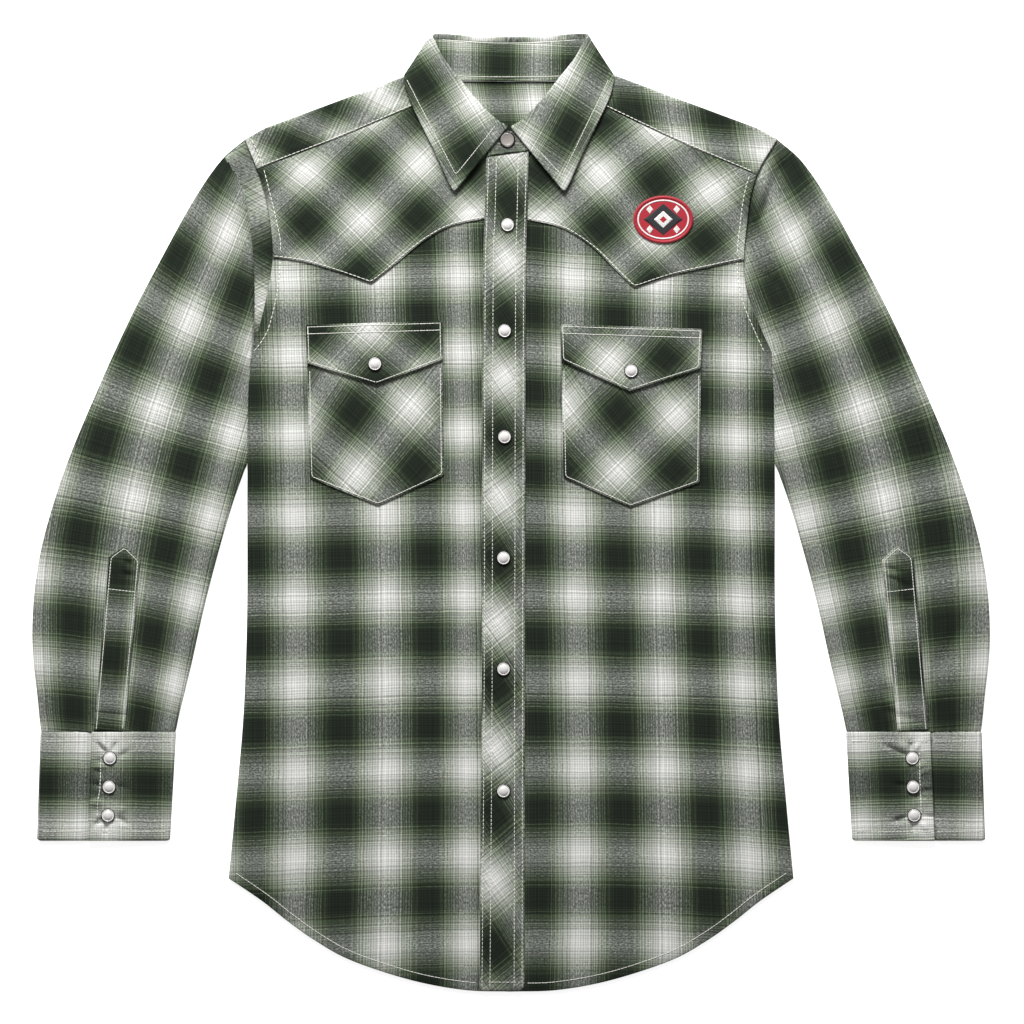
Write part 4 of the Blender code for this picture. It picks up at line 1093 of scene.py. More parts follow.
def make_sleeve(side):
    low, radius = CLOTH / 2, STEP / 2
    v = parts(185, 2.7)
    lengths = np.r_[np.arange(0, 46, 1.3), np.linspace(46, 550, 176)]
    where = lengths / lengths[-1]
    rows = np.array(SLEEVE)
    outer, inner = curve(rows[:, :2], where), curve(rows[:, 2:], where)
    seam = armhole(side, SHOULDER_TIP[1], ARMPIT_Y, v, -0.5)
    seam[:, 0] = np.abs(seam[:, 0])
    v = v[:, None]
    fade = (1 - where[:, None, None]) ** (2 + 28 * v**2)
    bulge = seam - outer[0] - (inner[0] - outer[0]) * v  # from the straight line to the armhole
    upper = outer[:, None] + (inner - outer)[:, None] * v + fade * bulge
    out_way, in_way = unit(upper[:, 0] - upper[:, 1]), unit(upper[:, -1] - upper[:, -2])
    upper[:, 0] -= out_way * (radius + CLOTH / 2)
    upper[:, -1] -= in_way * (radius + CLOTH / 2)
    upper[:, 1:4] += (upper[:, :1] - upper[:, 1:4]) * CROWD
    upper[:, -4:-1] += (upper[:, -1:] - upper[:, -4:-1]) * CROWD[::-1]
    upper, out_way, in_way = (mirrored(a, side) for a in (upper, out_way, in_way))
    under = upper[:, ::-2]
    if not np.allclose(under[:, -1], upper[:, 0]):
        under = np.concatenate([under, upper[:, :1]], axis=1)
    columns = upper.shape[1]
    from_fold = np.minimum(np.arange(columns), np.arange(columns)[::-1])
    up = laid(upper, 0, sleeve_relief(upper[..., 0], upper[..., 1], side) * smooth(from_fold / 4.0))
    down = np.dstack([under, np.full(under.shape[:2], low)])
    middle = np.concatenate([
        up, fold_points(upper[:, -1], in_way, radius, low, TURN),
        down, fold_points(upper[:, 0], out_way, radius, low, TURN[::-1]),
    ], axis=1)

    # the check: charted on the upper layer, carried on round the outer fold to the underside
    main = grain(f"sleeve_{side}", middle)
    fold = main[:, :1].copy()
    main[:, columns + len(TURN):] = 2 * fold - main[:, columns + len(TURN):]
    cloth = corners_of(np.concatenate([main, fold], axis=1))
    cloth[:, -1, 1:3] = cloth[:, -1, [0, 3]]
    if side == "right":
        x, y = ((middle[:-1, :-1, k] + middle[1:, 1:, k]) / 2 for k in (0, 1))
        line = np.vstack([(-252.0, 312.0), ROLL_LINE[side]])
        chosen = (x > np.interp(-y, -line[:, 1], line[:, 0]) + 0.5) & (y > 122.0)
        chosen[:, columns - 1:] = False
        cloth[:, :-1][chosen] = corners_of(grain("strip_right", middle))[chosen]
    panel(f"sleeve_skin_{side}", f"sleeve_{side}", middle, cloth, CLOTH, STRAIGHT, ["floor"], around=True)


for side in SIDES:
    make_sleeve(side)

# %% [markdown]
# ## Cuffs
# A cuff is a stiff doubled band that goes round once and laps over its own end, held by three snaps.
# Each snap pulls the cloth in, so short creases run out from it.

# %% Cuffs
CUFF_TOP_Y, CUFF_HEM_Y = -189.4, -282.5
CUFF_INNER_X, CUFF_OUTER_X = (288.5, 293.7), (404.2, 407.2)  # at the top edge and at the hem
CUFF_WIDE, CUFF_ROW = 115.0, 7.8  # width, and how far in from its edges the stitches run
CUFF_ROUTE = (  # part of the width from the inner edge, height of the middle of the wall
    (0.620, 4.5), (0.500, 4.5), (0.400, 4.4), (0.250, 3.6), (0.030, 2.9), (0.008, 2.5), (0.006, 1.3),
    (0.030, 0.7), (0.350, 0.7), (0.650, 0.7), (0.975, 0.7), (0.994, 1.2), (0.994, 2.1), (0.975, 2.6),
    (0.800, 2.7), (0.620, 2.6), (0.450, 2.5),
)
CUFF_SNAPS = ((345.0, -211.6), (345.7, -236.5), (346.6, -260.8))
CUFF_CREASES = {  # x, y, x, y, half width, rise
    "right": (
        (-347.0, -208.0, -355.0, -199.0, 2.1, -3.0), (-344.0, -207.0, -340.0, -198.0, 2.1, -1.7),
        (-338.0, -211.0, -328.0, -205.0, 2.5, -1.7), (-349.0, -205.0, -352.0, -196.0, 2.3, 1.7),
        (-350.0, -262.0, -358.0, -270.0, 2.3, -2.7), (-347.0, -266.0, -349.0, -276.0, 2.3, -1.7),
        (-340.0, -262.0, -330.0, -268.0, 2.5, -2.0), (-340.0, -257.0, -331.0, -255.0, 2.9, 1.7),
        (-352.0, -236.0, -361.0, -234.0, 2.3, -2.0), (-352.0, -248.0, -360.0, -250.0, 2.1, 1.7),
        (-351.0, -222.0, -360.0, -223.0, 2.1, -1.7), (-339.0, -236.0, -330.0, -238.0, 2.8, -1.7),
        (-372.0, -215.0, -392.0, -232.0, 6.0, 0.6), (-370.0, -250.0, -390.0, -246.0, 5.0, -0.6),
        (-310.0, -210.0, -300.0, -255.0, 6.0, 0.6),
    ),
    "left": (
        (341.0, -210.0, 322.0, -200.5, 2.3, -3.0), (344.0, -206.0, 343.5, -197.0, 1.8, -2.7),
        (347.0, -206.0, 351.0, -198.0, 2.1, 1.7), (340.0, -205.0, 334.0, -198.0, 2.3, 1.7),
        (341.0, -262.0, 328.0, -266.0, 2.3, -3.0), (351.0, -261.0, 372.0, -263.0, 2.5, -2.0),
        (346.0, -266.0, 344.0, -277.0, 2.3, -2.0), (352.0, -266.0, 358.0, -274.0, 2.5, 1.7),
        (340.0, -236.0, 330.0, -234.0, 2.5, -1.7), (352.0, -238.0, 362.0, -240.0, 2.3, -2.0),
        (351.0, -225.0, 360.0, -222.0, 2.1, 1.7), (376.0, -212.0, 392.0, -240.0, 6.0, 0.6),
        (306.0, -215.0, 298.0, -250.0, 6.0, 0.6),
    ),
}
LAP_STITCH = {  # down the lap of each cuff
    "right": ((-352.6, -209.0), (-353.0, -226.0), (-353.6, -239.0), (-355.4, -248.0), (-356.0, -262.0)),
    "left": ((351.2, -207.0), (351.4, -226.0), (352.0, -243.0), (352.8, -260.0)),
}


def cuff_across(t):
    """The inner and the outer edge of a cuff, at a part of its height from the top down."""
    return (at_top + t * (at_hem - at_top) for at_top, at_hem in (CUFF_INNER_X, CUFF_OUTER_X))


def cuff_relief(x, y, upper, side):
    """Creases that run out from each snap and die away, the stitched edges, and puckers down the lap."""
    height = crease_height(-x if side == "right" else x, y, CUFF_CREASES[side])
    for k, (sx, sy) in enumerate(CUFF_SNAPS):
        r, turn = np.hypot(x - sx, y - sy), np.arctan2(y - sy, x - sx)
        rays = np.sin(5 * turn + 1.7 * k) * 0.6 + np.sin(8 * turn + 0.6 * k + 1.0) * 0.4
        height += (0.6 * rays - 0.4) * bell(r, 11.0) * smooth(r / 5.0)
    near = np.minimum(CUFF_TOP_Y - y, y - CUFF_HEM_Y)
    height += 0.2 * (1 - smooth((near - 6.0) / 2.5)) - 0.16 * bell(near - CUFF_ROW, 1.0)
    height += 0.24 * ripple(x * 0.8, 0.9) * bell(near - CUFF_ROW, 5.0)
    sewn, along = nearest(x, y, mirrored(np.array(LAP_STITCH[side]), side))
    height += 1.05 * ripple(along * 0.75, 1.6) * bell(sewn, 6.0)
    return height * upper


def make_cuff(side):
    s, t = parts(390, 1.5, 0.45), parts(92.7, 1.4)
    across, high = (curve(np.array(CUFF_ROUTE) * (CUFF_WIDE, 1.0), s) / (CUFF_WIDE, 1.0)).T
    inner, outer = cuff_across(t)
    x = inner[:, None] + (outer - inner)[:, None] * across
    y = np.broadcast_to((CUFF_TOP_Y + t * (CUFF_HEM_Y - CUFF_TOP_Y))[:, None], x.shape).copy()
    fold = np.minimum(across, 1 - across) * CUFF_WIDE
    y += 0.9 * smooth((6.0 + CUFF_HEM_Y - y) / 6.0) * smooth(1 - fold / 3.0)
    order = np.arange(len(across))
    turn_at = np.argmin(np.abs(across - 0.03) + (high < 2.0) * 9)
    under_at = np.argmax((high > 2.4) & (order > len(order) // 2))
    upper = (order < turn_at) * smooth((across - 0.05) / 0.1)
    under = (order >= under_at) * smooth((across - 0.60) / 0.05) * smooth((0.97 - across) / 0.04)
    z = high + cuff_relief(x, y, upper, side) + 0.4 * cuff_relief(x, y, under, side)
    z -= 1.7 * bell((across - 0.631) * CUFF_WIDE, 1.7) * (order >= under_at)  # the step beside the lap
    middle = mirrored(np.stack([x, y, z], axis=-1), side)
    cloth = corners_of(grain(f"cuff_{side}_lap", middle))
    cloth[:, under_at:] = corners_of(grain(f"cuff_{side}_under", middle))[:, under_at:]
    panel(f"cuff_band_{side}", f"cuff_{side}", middle, cloth, FUSED, WEFT_UP, ["floor"])


for side in SIDES:
    make_cuff(side)

# %% [markdown]
# ## Sleeve plackets
# The pointed strip above each cuff finishes the slit of the sleeve. It is folded and stitched down
# all round, and a short row across it ends the slit. It could be drawn on the sleeve, but its edge
# stands a cloth high and throws a shadow.

# %% Sleeve plackets
TOWER = (  # outer x, outer y, inner x, inner y
    (332.8, -29.6, 331.4, -29.6), (345.4, -38.4, 319.1, -41.6), (347.2, -59.0, 321.0, -62.0),
    (351.6, -110.0, 325.6, -111.0), (355.0, -150.0, 329.2, -150.0), (358.5, -188.8, 332.5, -188.8),
)
TOWER_AT = np.r_[0, np.linspace(0.12, 1.0, 9), np.linspace(1.0, 5, 62)[1:], 5]  # its rows, in rows of TOWER


def tower_outline(side):
    rows = mirrored(np.array(TOWER).reshape(-1, 2, 2), side)
    return np.vstack([rows[::-1, 0], rows[:, 1]])


def make_tower(side):
    rows = columns_at(TOWER_AT, np.arange(len(TOWER)), np.array(TOWER))[:, None]
    across = parts(26, 1.2, 0.35)[:, None]
    grid = mirrored(rows[..., :2] + (rows[..., 2:] - rows[..., :2]) * across, side)
    x, y = grid[..., 0], grid[..., 1]
    relief = sewn_edge(x, y, tower_outline(side), seam=1.7, band=5.0, rise=0.22, seed=3.0)
    relief += 0.2 * bell(y + 178.5, 3.0) - 0.35 * bell(y + 174.0, 3.0)
    name, under = f"sleeve_placket_skin_{side}", f"sleeve_skin_{side}"
    laid_panel(name, f"sleeve_placket_{side}", grid, 1, relief, STRAIGHT, [under])


for side in SIDES:
    make_tower(side)

# %% [markdown]
# ## Pockets and flaps
# Pocket and flap are patches on the bias with a pointed lower edge, turned in and edge-stitched. The
# flap lies one cloth higher, with two rows along its top, and its snap draws the point down.

# %% Pockets and flaps
POCKET = {
    "right": {"top": ((-175.6, 156.5), (-59.6, 159.8)),
              "bottom": ((-172.9, 29.4), (-114.3, 5.7), (-58.1, 31.6))},
    "left": {"top": ((43.2, 157.0), (163.6, 153.0)),
             "bottom": ((45.3, 29.7), (102.8, 4.3), (162.0, 25.4))},
}
FLAP = {
    "right": {"top": ((-176.4, 160.6), (-59.3, 164.0)), "snap": (-117.0, 127.3),
              "bottom": ((-175.4, 128.1), (-115.8, 109.6), (-58.8, 131.0))},
    "left": {"top": ((42.8, 161.2), (164.3, 157.1)), "snap": (103.2, 121.3),
             "bottom": ((43.4, 130.4), (102.1, 103.9), (162.7, 123.4))},
}
EDGE_ROW, TOP_ROW = 1.7, 7.6  # how far in from an edge the two rows of stitches run


def patch(shape, height):
    """A grid between a straight top and a pointed bottom, closer together at every edge."""
    half, t = parts(60, 1.5, 0.4), parts(height, 1.5, 0.4)
    s = joined_parts((60, half), (60, half))
    low, high = np.array(shape["bottom"]), np.array(shape["top"])
    bottom = np.vstack([resample(low[:2], half), resample(low[1:], half)[1:]])
    top = between(high[0], high[1], s)
    left, right = (between(bottom[k], top[k], t) for k in (0, -1))
    return soften(coons(bottom, top, left, right, s, t), 1.8, [(0, 0), (0, -1), (-1, 0), (-1, -1)])


def patch_line(shape):
    """The sides and the pointed edge, from one top corner to the other."""
    return np.array([shape["top"][0], *shape["bottom"], shape["top"][1]])


def mound(x, y, middle_x):
    """A full pocket swells a little round its middle."""
    return 0.35 * bell(x - middle_x, 40.0) * bell(y - 80.0, 42.0)


def make_pocket(side):
    grid = patch(POCKET[side], 130)
    x, y = grid[..., 0], grid[..., 1]
    relief = sewn_edge(x, y, patch_line(POCKET[side]), seam=EDGE_ROW, band=6.0, seed=0.8)
    relief += mound(x, y, POCKET[side]["bottom"][1][0])
    laid_panel(f"pocket_patch_{side}", f"pocket_{side}", grid, 1, relief, BIAS, [f"front_panel_{side}"])


def flap_height(x, y, side):
    """The flap's own relief: stitched edges, a lifted lower edge, and the dent of its snap."""
    shape = FLAP[side]
    loop = np.vstack([patch_line(shape), shape["top"][0]])
    relief = sewn_edge(x, y, loop, seam=EDGE_ROW, band=5.5, pucker=0.18, seed=1.9)
    from_top, _ = nearest(x, y, np.array(shape["top"]))
    from_edge, _ = nearest(x, y, np.array(shape["bottom"]))
    from_snap = np.hypot(x - shape["snap"][0], y - shape["snap"][1])
    relief += bell(from_edge, 9.0) * smooth(from_top / 12.0)
    return relief - 0.15 * bell(from_top - TOP_ROW, 0.9) - 0.4 * bell(from_snap, 9.0)


def make_flap(side):
    grid = patch(FLAP[side], 40)
    x, y = grid[..., 0], grid[..., 1]
    relief = flap_height(x, y, side) + mound(x, y, FLAP[side]["snap"][0])
    laid_panel(f"pocket_flap_{side}", f"flap_{side}", grid, 2, relief, BIAS, [f"pocket_patch_{side}"])


for side in SIDES:
    make_pocket(side)
    make_flap(side)

# %% [markdown]
# ## Collar
# Leaf and stand are two bands sewn together along a line that lies flat at the back, turns over at
# each shoulder and comes down to the front. The leaf falls outside that line in two pointed wings,
# and the stand goes on inside it to the neckline and laps at the front. Both are swept along the
# turned line: a section of points for each station round the neck.

# %% Collar stations
COLLAR = np.array((  # roll x, roll y, stand x, stand y, leaf x, leaf y, turn
    (0.0, 407.3, 0.0, 370.7, 0.0, 370.9, -90), (20.0, 407.6, 20.0, 370.7, 20.0, 371.0, -90),
    (40.0, 408.8, 41.0, 371.2, 41.0, 371.4, -90), (54.0, 409.8, 60.0, 372.6, 60.0, 373.2, -90),
    (62.4, 410.1, 80.6, 378.6, 82.6, 378.0, -90), (64.2, 409.6, 80.6, 378.6, 83.6, 377.4, -40),
    (65.3, 408.6, 80.6, 378.6, 86.0, 375.6, 0), (65.7, 407.0, 80.6, 378.6, 88.6, 373.6, 45),
    (65.0, 404.6, 80.6, 378.6, 90.4, 371.2, 90), (57.4, 389.0, 78.0, 370.2, 86.6, 357.5, 90),
    (42.2, 369.2, 66.0, 350.6, 77.6, 337.6, 90), (27.4, 350.5, 51.6, 332.6, 62.9, 307.6, 90),
    (13.2, 336.2, 33.6, 317.2, 52.2, 284.1, 90), (2.6, 329.4, 13.6, 310.4, 47.2, 275.2, 90),
))
COLLAR_SIDE = (0.85, 0.53)  # the way the leaf faces where it stands upright in the turn
STAND_RADIUS, COLLAR_SEAM = 1.0, 2.8  # from the turned line to the cloth, and along it to the seam
TURN_Z, LEAF_Z = 3.4, 6.1  # heights of the turned line and of the leaf along the back
COLLAR_FRONT = {  # height of the turned line, of the leaf at the roll, of the leaf's edge
    "right": ((3.4, 6.1, 6.2), (3.5, 6.8, 6.7), (3.6, 7.5, 7.1),
              (3.7, 8.2, 7.6), (3.8, 8.9, 8.2), (3.8, 9.2, 9.0)),
    "left": ((3.4, 6.1, 6.2), (3.7, 7.0, 6.7), (4.1, 7.9, 7.1),
             (4.7, 8.8, 7.7), (5.3, 9.6, 8.4), (5.6, 9.9, 9.3)),
}
STAND_END = {  # top x, top y, bottom x, bottom y
    "right": ((-3.0, 326.5, -3.0, 309.6), (-13.0, 324.5, -13.0, 311.8)),
    "left": ((-3.4, 327.8, -2.0, 308.6), (-13.6, 325.0, -18.4, 306.2)),
}
TURN_ROWS = 4, 8  # the rows of COLLAR between which it turns over
FRONT_PARTS = parts(110, 1.9, 0.45)
FRONT_COUNT = len(FRONT_PARTS)
FRONT_ROWS = {"right": slice(0, FRONT_COUNT), "left": slice(-FRONT_COUNT, None)}


def collar_half(side):
    """Stations of one half, with heights: smooth curves along the back and along the front, and
    even steps of the angle in the turn between them."""
    heights = np.vstack([np.tile((TURN_Z, LEAF_Z, LEAF_Z), (len(COLLAR) - 6, 1)), COLLAR_FRONT[side]])
    rows = np.hstack([COLLAR, heights])
    first, last = TURN_ROWS
    back = curve(rows[: first + 1], parts(70, 4.0, 1.0))
    turn = columns_at(np.linspace(first, last, 15), np.arange(len(rows)), rows)
    return np.vstack([back, turn[1:], curve(rows[last:], FRONT_PARTS)[1:]])


def frames(rows, side):
    """For each station: roll, stand edge and leaf edge in space, the way the leaf faces, and the
    leaf's distances from the turned line."""
    mirror = -1 if side == "right" else 1
    angle = np.radians(rows[:, 6])
    level = np.cos(angle)[:, None] * (mirror * COLLAR_SIDE[0], COLLAR_SIDE[1])
    facing = np.column_stack([level, np.sin(angle)])
    x, y = COLLAR_X + mirror * rows[:, 0:6:2], rows[:, 1:6:2]
    places = [np.column_stack([x[:, k], y[:, k], rows[:, 7]]) for k in range(3)]
    return (*places, facing, rows[:, 8] - rows[:, 7], rows[:, 9] - rows[:, 7])


def collar_stations():
    """All stations, from the right front edge round the neck to the left one."""
    right, left = (frames(collar_half(side), side) for side in SIDES)
    return [np.concatenate([a[:0:-1], b]) for a, b in zip(right, left)]


ROLL_AT, STAND_AT, LEAF_AT, FACING, RISE_ROLL, RISE_EDGE = collar_stations()
print("collar stations:", len(ROLL_AT))


# %% [markdown]
# ## Collar leaf
# The leaf's section at each station starts at the seam, goes round the roll and runs out to the
# edge. Both wings are stitched along their edges, and the cloth ripples beside that row.

# %% Collar leaf
WING_STITCH = {  # the topstitch of each wing
    "right": ((-89.7, 371.7), (-47.5, 289.8), (-13.3, 332.0)),
    "left": ((83.7, 371.5), (43.9, 289.0), (23.7, 310.5), (8.2, 325.1)),
}


def wing_lines(side):
    """The outer edge and the front edge of a wing."""
    roll, _, leaf = frames(collar_half(side), side)[:3]
    return np.vstack([leaf[-FRONT_COUNT:, :2], roll[-1:, :2]])


def make_leaf():
    to_stand, to_leaf = unit(STAND_AT - ROLL_AT), unit(LEAF_AT - ROLL_AT)
    radius = ((RISE_ROLL - STAND_RADIUS) / 2)[:, None]
    centre = ROLL_AT + FACING * (STAND_RADIUS + radius)
    section = [ROLL_AT + to_stand * COLLAR_SEAM + FACING * STAND_RADIUS]
    for angle in np.radians(np.linspace(-90, 90, 11)):
        section.append(centre - to_leaf * radius * math.cos(angle) + FACING * radius * math.sin(angle))
    arc = len(section)
    for t in parts(72, 1.9, 0.45)[1:]:
        rise = (RISE_ROLL + (RISE_EDGE - RISE_ROLL) * t)[:, None]
        section.append(ROLL_AT + (LEAF_AT - ROLL_AT) * t + FACING * rise)
    middle = np.stack(section, axis=1)
    soften(middle, 2.6, [(0, -1), (-1, -1)])
    for side, rows in FRONT_ROWS.items():
        x, y = middle[rows, arc:, 0], middle[rows, arc:, 1]
        far, _ = nearest(x, y, wing_lines(side))
        sewn, run = nearest(x, y, np.array(WING_STITCH[side]))
        band = 0.3 * (1 - smooth((far - 4.5) / 2.4)) - 0.35 * bell(sewn, 1.1)
        waves = 0.1 * ripple(run, 1.1) * bell(sewn, 4.0)
        fade = smooth(np.arange(x.shape[1]) / 6.0)
        middle[rows, arc:, 2] += (0.7 * smooth(far / 22.0) + band + waves) * fade
    cloth = corners_of(grain("leaf_back", middle))
    count = FRONT_COUNT + 10  # the wings' check starts in the turn
    for side, rows in (("right", slice(0, count)), ("left", slice(-count, None))):
        cloth[rows] = corners_of(grain(f"wing_{side}", middle))[rows]
    panel("collar_fall", "collar_leaf", middle, cloth, FUSED, STRAIGHT,
          ["shoulder_yoke", "front_yoke_skin_right", "front_yoke_skin_left"])
    return middle


LEAF_GRID = make_leaf()


# %% [markdown]
# ## Collar stand
# The stand goes on from the seam, down inside the neck to the neckline. In front it comes out from
# under the wings as a tab at each side, and the left tab lies over the right one under the top snap.

# %% Collar stand
STAND_TALL = 38.0
TAB_Y = 330.0  # in front of this the stand is a tab


def stand_rows(top, bottom, facing, where):
    start = top + unit(bottom - top) * (COLLAR_SEAM + GAP)
    return start[:, None] + (bottom - start)[:, None] * where[None, :, None] + facing[:, None] * STAND_RADIUS


def stand_tab(side, last, where):
    """The rows of one tab, from the stand's last row on through the two of STAND_END."""
    z = COLLAR_FRONT[side][-1][0] + STAND_RADIUS
    rows = [last]
    for top_x, top_y, low_x, low_y in STAND_END[side]:
        top, low = mirrored([(top_x, top_y, z), (low_x, low_y, z)], side) + (COLLAR_X, 0, 0)
        rows.append(between(top, low, where))
    rows = np.array(rows)
    fine = [columns_at(np.linspace(0, 2, 13), (0, 1, 2), rows[:, k]) for k in range(rows.shape[1])]
    return np.stack(fine, axis=1)[1:]


def make_stand():
    where = parts(STAND_TALL, 1.8, 0.45)
    body = stand_rows(ROLL_AT, STAND_AT, FACING, where)
    right, left = stand_tab("right", body[0], where), stand_tab("left", body[-1], where)
    middle = np.concatenate([right[::-1], body, left])
    along, far = np.arange(len(middle))[:, None], where * STAND_TALL
    relief = -0.9 * bell(far, 0.8) - 0.15 * bell(far - 2.2, 0.9)
    relief += 0.6 * bell(far - STAND_TALL, 4.5) - 0.2 * bell(far - 35.8, 0.9)
    middle[..., 2] += relief + 0.08 * ripple(along * 2.0, 0.6) * bell(far - 36.0, 4.0)
    cloth = corners_of(grain("stand", middle))
    tab = middle[:, -1, 1] < TAB_Y
    cells = tab[:-1] & tab[1:]
    cloth[cells] = corners_of(grain("tab", middle))[cells]
    middle[tab, :, 2] -= 0.35 * bell(far - 33.6, 0.9)
    panel("collar_stand_band", "collar_stand", middle, cloth, FUSED, STRAIGHT,
          ["shoulder_yoke", "snap_placket"])
    return middle


STAND_GRID = make_stand()

# %% [markdown]
# ## Topstitching
# Every seam is held by rows of undyed cotton thread, about three stitches a centimetre. Each stitch
# is a short, thick arc of thread that sinks into the cloth at both ends. One small closed shape of
# fourteen faces is laid along every line by turning it to the line's direction, so thousands of
# stitches stay light.

# %% Thread and stitches
THREAD = toned("undyed_cotton_thread", "e8e8df", 90.0, 0.88, 1.0,
               {"Roughness": 0.75, "Specular IOR Level": 0.3})
ROWS_OF = {  # from stitch to stitch, half the thread's width, and how wide it still is at its ends
    "body": (3.8, 0.38, 0.5), "hem": (3.0, 0.34, 0.85), "placket": (3.3, 0.3, 0.5),
    "pockets": (2.6, 0.34, 0.85), "sleeves": (2.6, 0.34, 0.85), "cuffs": (3.0, 0.42, 0.6),
    "collar": (2.6, 0.3, 0.85),
}
SEWING = {name: [] for name in ROWS_OF}  # the lines that each kind of row follows, in space


def sew(name, *paths):
    SEWING[name].extend(paths)


def stitches(paths, pitch, thick, tip, seed):
    """Points and faces of the stitches along polylines in space: a spindle with a square section,
    its axis along the line, its middle raised and its ends sunk."""
    rng = np.random.default_rng(seed)
    starts, ends = [], []
    for path in paths:
        along = lengths_along(path)
        count = max(1, int(along[-1] // pitch))
        at = (np.arange(count) + 0.5) * along[-1] / count + rng.normal(0, 0.08, count)
        half = pitch * (0.43 + 0.06 * tip) * (1 + rng.normal(0, 0.05, count))
        starts.append(columns_at(at - half, along, path))
        ends.append(columns_at(at + half, along, path))
    a, b = np.concatenate(starts), np.concatenate(ends)
    way = unit(b - a)
    side = unit(np.cross((0.0, 0.0, 1.0), way))
    up = np.cross(way, side)
    sunk = 0.3 * tip - 0.25
    rings = []
    for t, wide, high in ((0.0, tip, sunk), (0.25, 1.0, 0.12), (0.75, 1.0, 0.12), (1.0, tip, sunk)):
        centre = a + (b - a) * t + up * high
        for turn in np.radians((45, 135, 225, 315)):
            corner = side * math.cos(turn) + up * math.sin(turn) * 0.8
            rings.append(centre + corner * thick * 1.3 * wide)
    faces = [(3, 2, 1, 0), (12, 13, 14, 15)]
    for ring in (0, 4, 8):
        for k in range(4):
            n = (k + 1) % 4
            faces.append((ring + k, ring + n, ring + 4 + n, ring + 4 + k))
    first = np.arange(len(a))[:, None, None] * len(rings)  # each stitch's first point
    return np.stack(rings, axis=1).reshape(-1, 3), (np.array(faces) + first).reshape(-1, 4)


def length(line):
    return np.linalg.norm(np.diff(line, axis=0), axis=1).sum()


def on_cloth(line, layer, relief=0.0):
    """A line in the plane put on the top face of a ply of the upper cloth. Layer and relief are
    numbers or functions of place."""
    fine = resample(line, even(max(3, int(length(line) / 2))))
    x, y = fine.T
    extra = relief(x, y) if callable(relief) else relief
    plies = layer(y) if callable(layer) else layer
    return np.column_stack([fine, lift(x, y) + STEP * plies + CLOTH + extra])


def one_side(relief, side, more=0.0):
    """A relief as a function of place alone, on one side."""
    return lambda x, y: relief(x, y, side) + more


def inset(line, distance):
    """A polyline moved sideways, to its left if the distance is positive: at each corner along the
    mean of the two normals, stretched so that both sides move by the same amount."""
    way = unit(np.diff(line, axis=0))
    normal = np.stack([-way[:, 1], way[:, 0]], axis=1)
    before, after = np.vstack([normal[:1], normal]), np.vstack([normal, normal[-1:]])
    mean = before + after
    return line + mean * (distance / np.maximum((mean * before).sum(axis=1), 0.3))[:, None]


def trim(line, start=0.0, end=0.0):
    """A polyline shortened by so much at each end."""
    whole = length(line)
    return resample(line, np.linspace(start / whole, 1 - end / whole, max(3, int(whole / 2))))


def drop_on(line, middle, thickness, low=5.0):
    """A line in the plane put on the upper face of a grid: the mean height of the four nearest
    points above low, weighted by nearness."""
    flat = middle.reshape(-1, 3)
    flat = flat[flat[:, 2] > low]
    near = ((line[:, None, :2] - flat[None, :, :2]) ** 2).sum(axis=2)
    best = np.argpartition(near, 3, axis=1)[:, :4]
    weights = 1 / (np.take_along_axis(near, best, 1) + 0.05)
    z = (flat[best, 2] * weights).sum(axis=1) / weights.sum(axis=1)
    return np.column_stack([line, z + thickness / 2])


print("kinds of row:", ", ".join(ROWS_OF))

# %% [markdown]
# ## Where the body is sewn
# One row beside each armhole, one along the forward seam, one round each front yoke, one along the
# hem, and two down each side of the placket. Each row is its seam moved inwards and put on the
# cloth, so a change of the seam moves the stitches with it.

# %% Stitch lines of the body
ARM_STITCH = (  # beside the right armhole, from the armpit up to the fold
    (-221.5, 137.6), (-213.7, 147.9), (-207.7, 160.8), (-200.8, 190.9), (-198.2, 225.3), (-200.0, 242.5),
    (-213.7, 298.4), (-223.6, 320.8),
)
for side in SIDES:
    toward = 1 if side == "right" else -1  # which side of a line drawn from the armhole is the cloth
    arm = curve(ARM_STITCH, even(80)) if side == "right" else inset(ARM_LINE[side], -5.6 * toward)
    yoke_low, seam_y = YOKE_LINE[side][0, 1], FORWARD_SEAM_Y[side]
    below = trim(arm[arm[:, 1] < yoke_low - 1.5], 0.5 if side == "right" else 3.0)
    above = arm[(arm[:, 1] > yoke_low + 1.0) & (arm[:, 1] < seam_y - 0.5)]
    band = one_side(arm_band, side)
    sew("body", on_cloth(below, 0, band), on_cloth(above, 1, band))
    if side == "right":
        over_seam = trim(arm[arm[:, 1] > seam_y + 1.0], 0, 1.5)
        sew("body", on_cloth(over_seam, 1, one_side(arm_band, side, 1.1)))
    sew("body", on_cloth(trim(inset(FORWARD_LINE[side], 1.1 * toward), 1.5, 10.0), 1, 0.42))
    edge = trim(inset(YOKE_LINE[side], 1.3 * toward), 1.0, 1.0)
    sew("body", on_cloth(edge, 1, one_side(yoke_relief, side)))
    stop = PLACKET[-1][1 if side == "right" else 3] - toward
    hem = trim(inset(up_to(HEM_LINE[side], side, stop), 6.9 * toward), 2.5, 0.5)
    sew("hem", on_cloth(hem, 0, one_side(front_relief, side)))

right, left = placket_edges(even(200))
for row in STITCH_ROWS:
    for line, way in ((right, 1), (left, -1)):
        sew("placket", on_cloth(trim(line + (way * row, 0), 2.0, 2.5), placket_layer, placket_relief))
sew("placket", on_cloth(np.array([right[-1] + (2.5, 7.0), left[-1] + (-2.5, 7.0)]), placket_layer, 0.05))
print("body:", len(SEWING["body"]), "lines, placket:", len(SEWING["placket"]))

# %% [markdown]
# ## Where pockets and flaps are sewn
# A pocket is stitched round its lower edge, a flap all round, with a second row along its top and a
# short one at each end of it, which takes the strain of the snap.

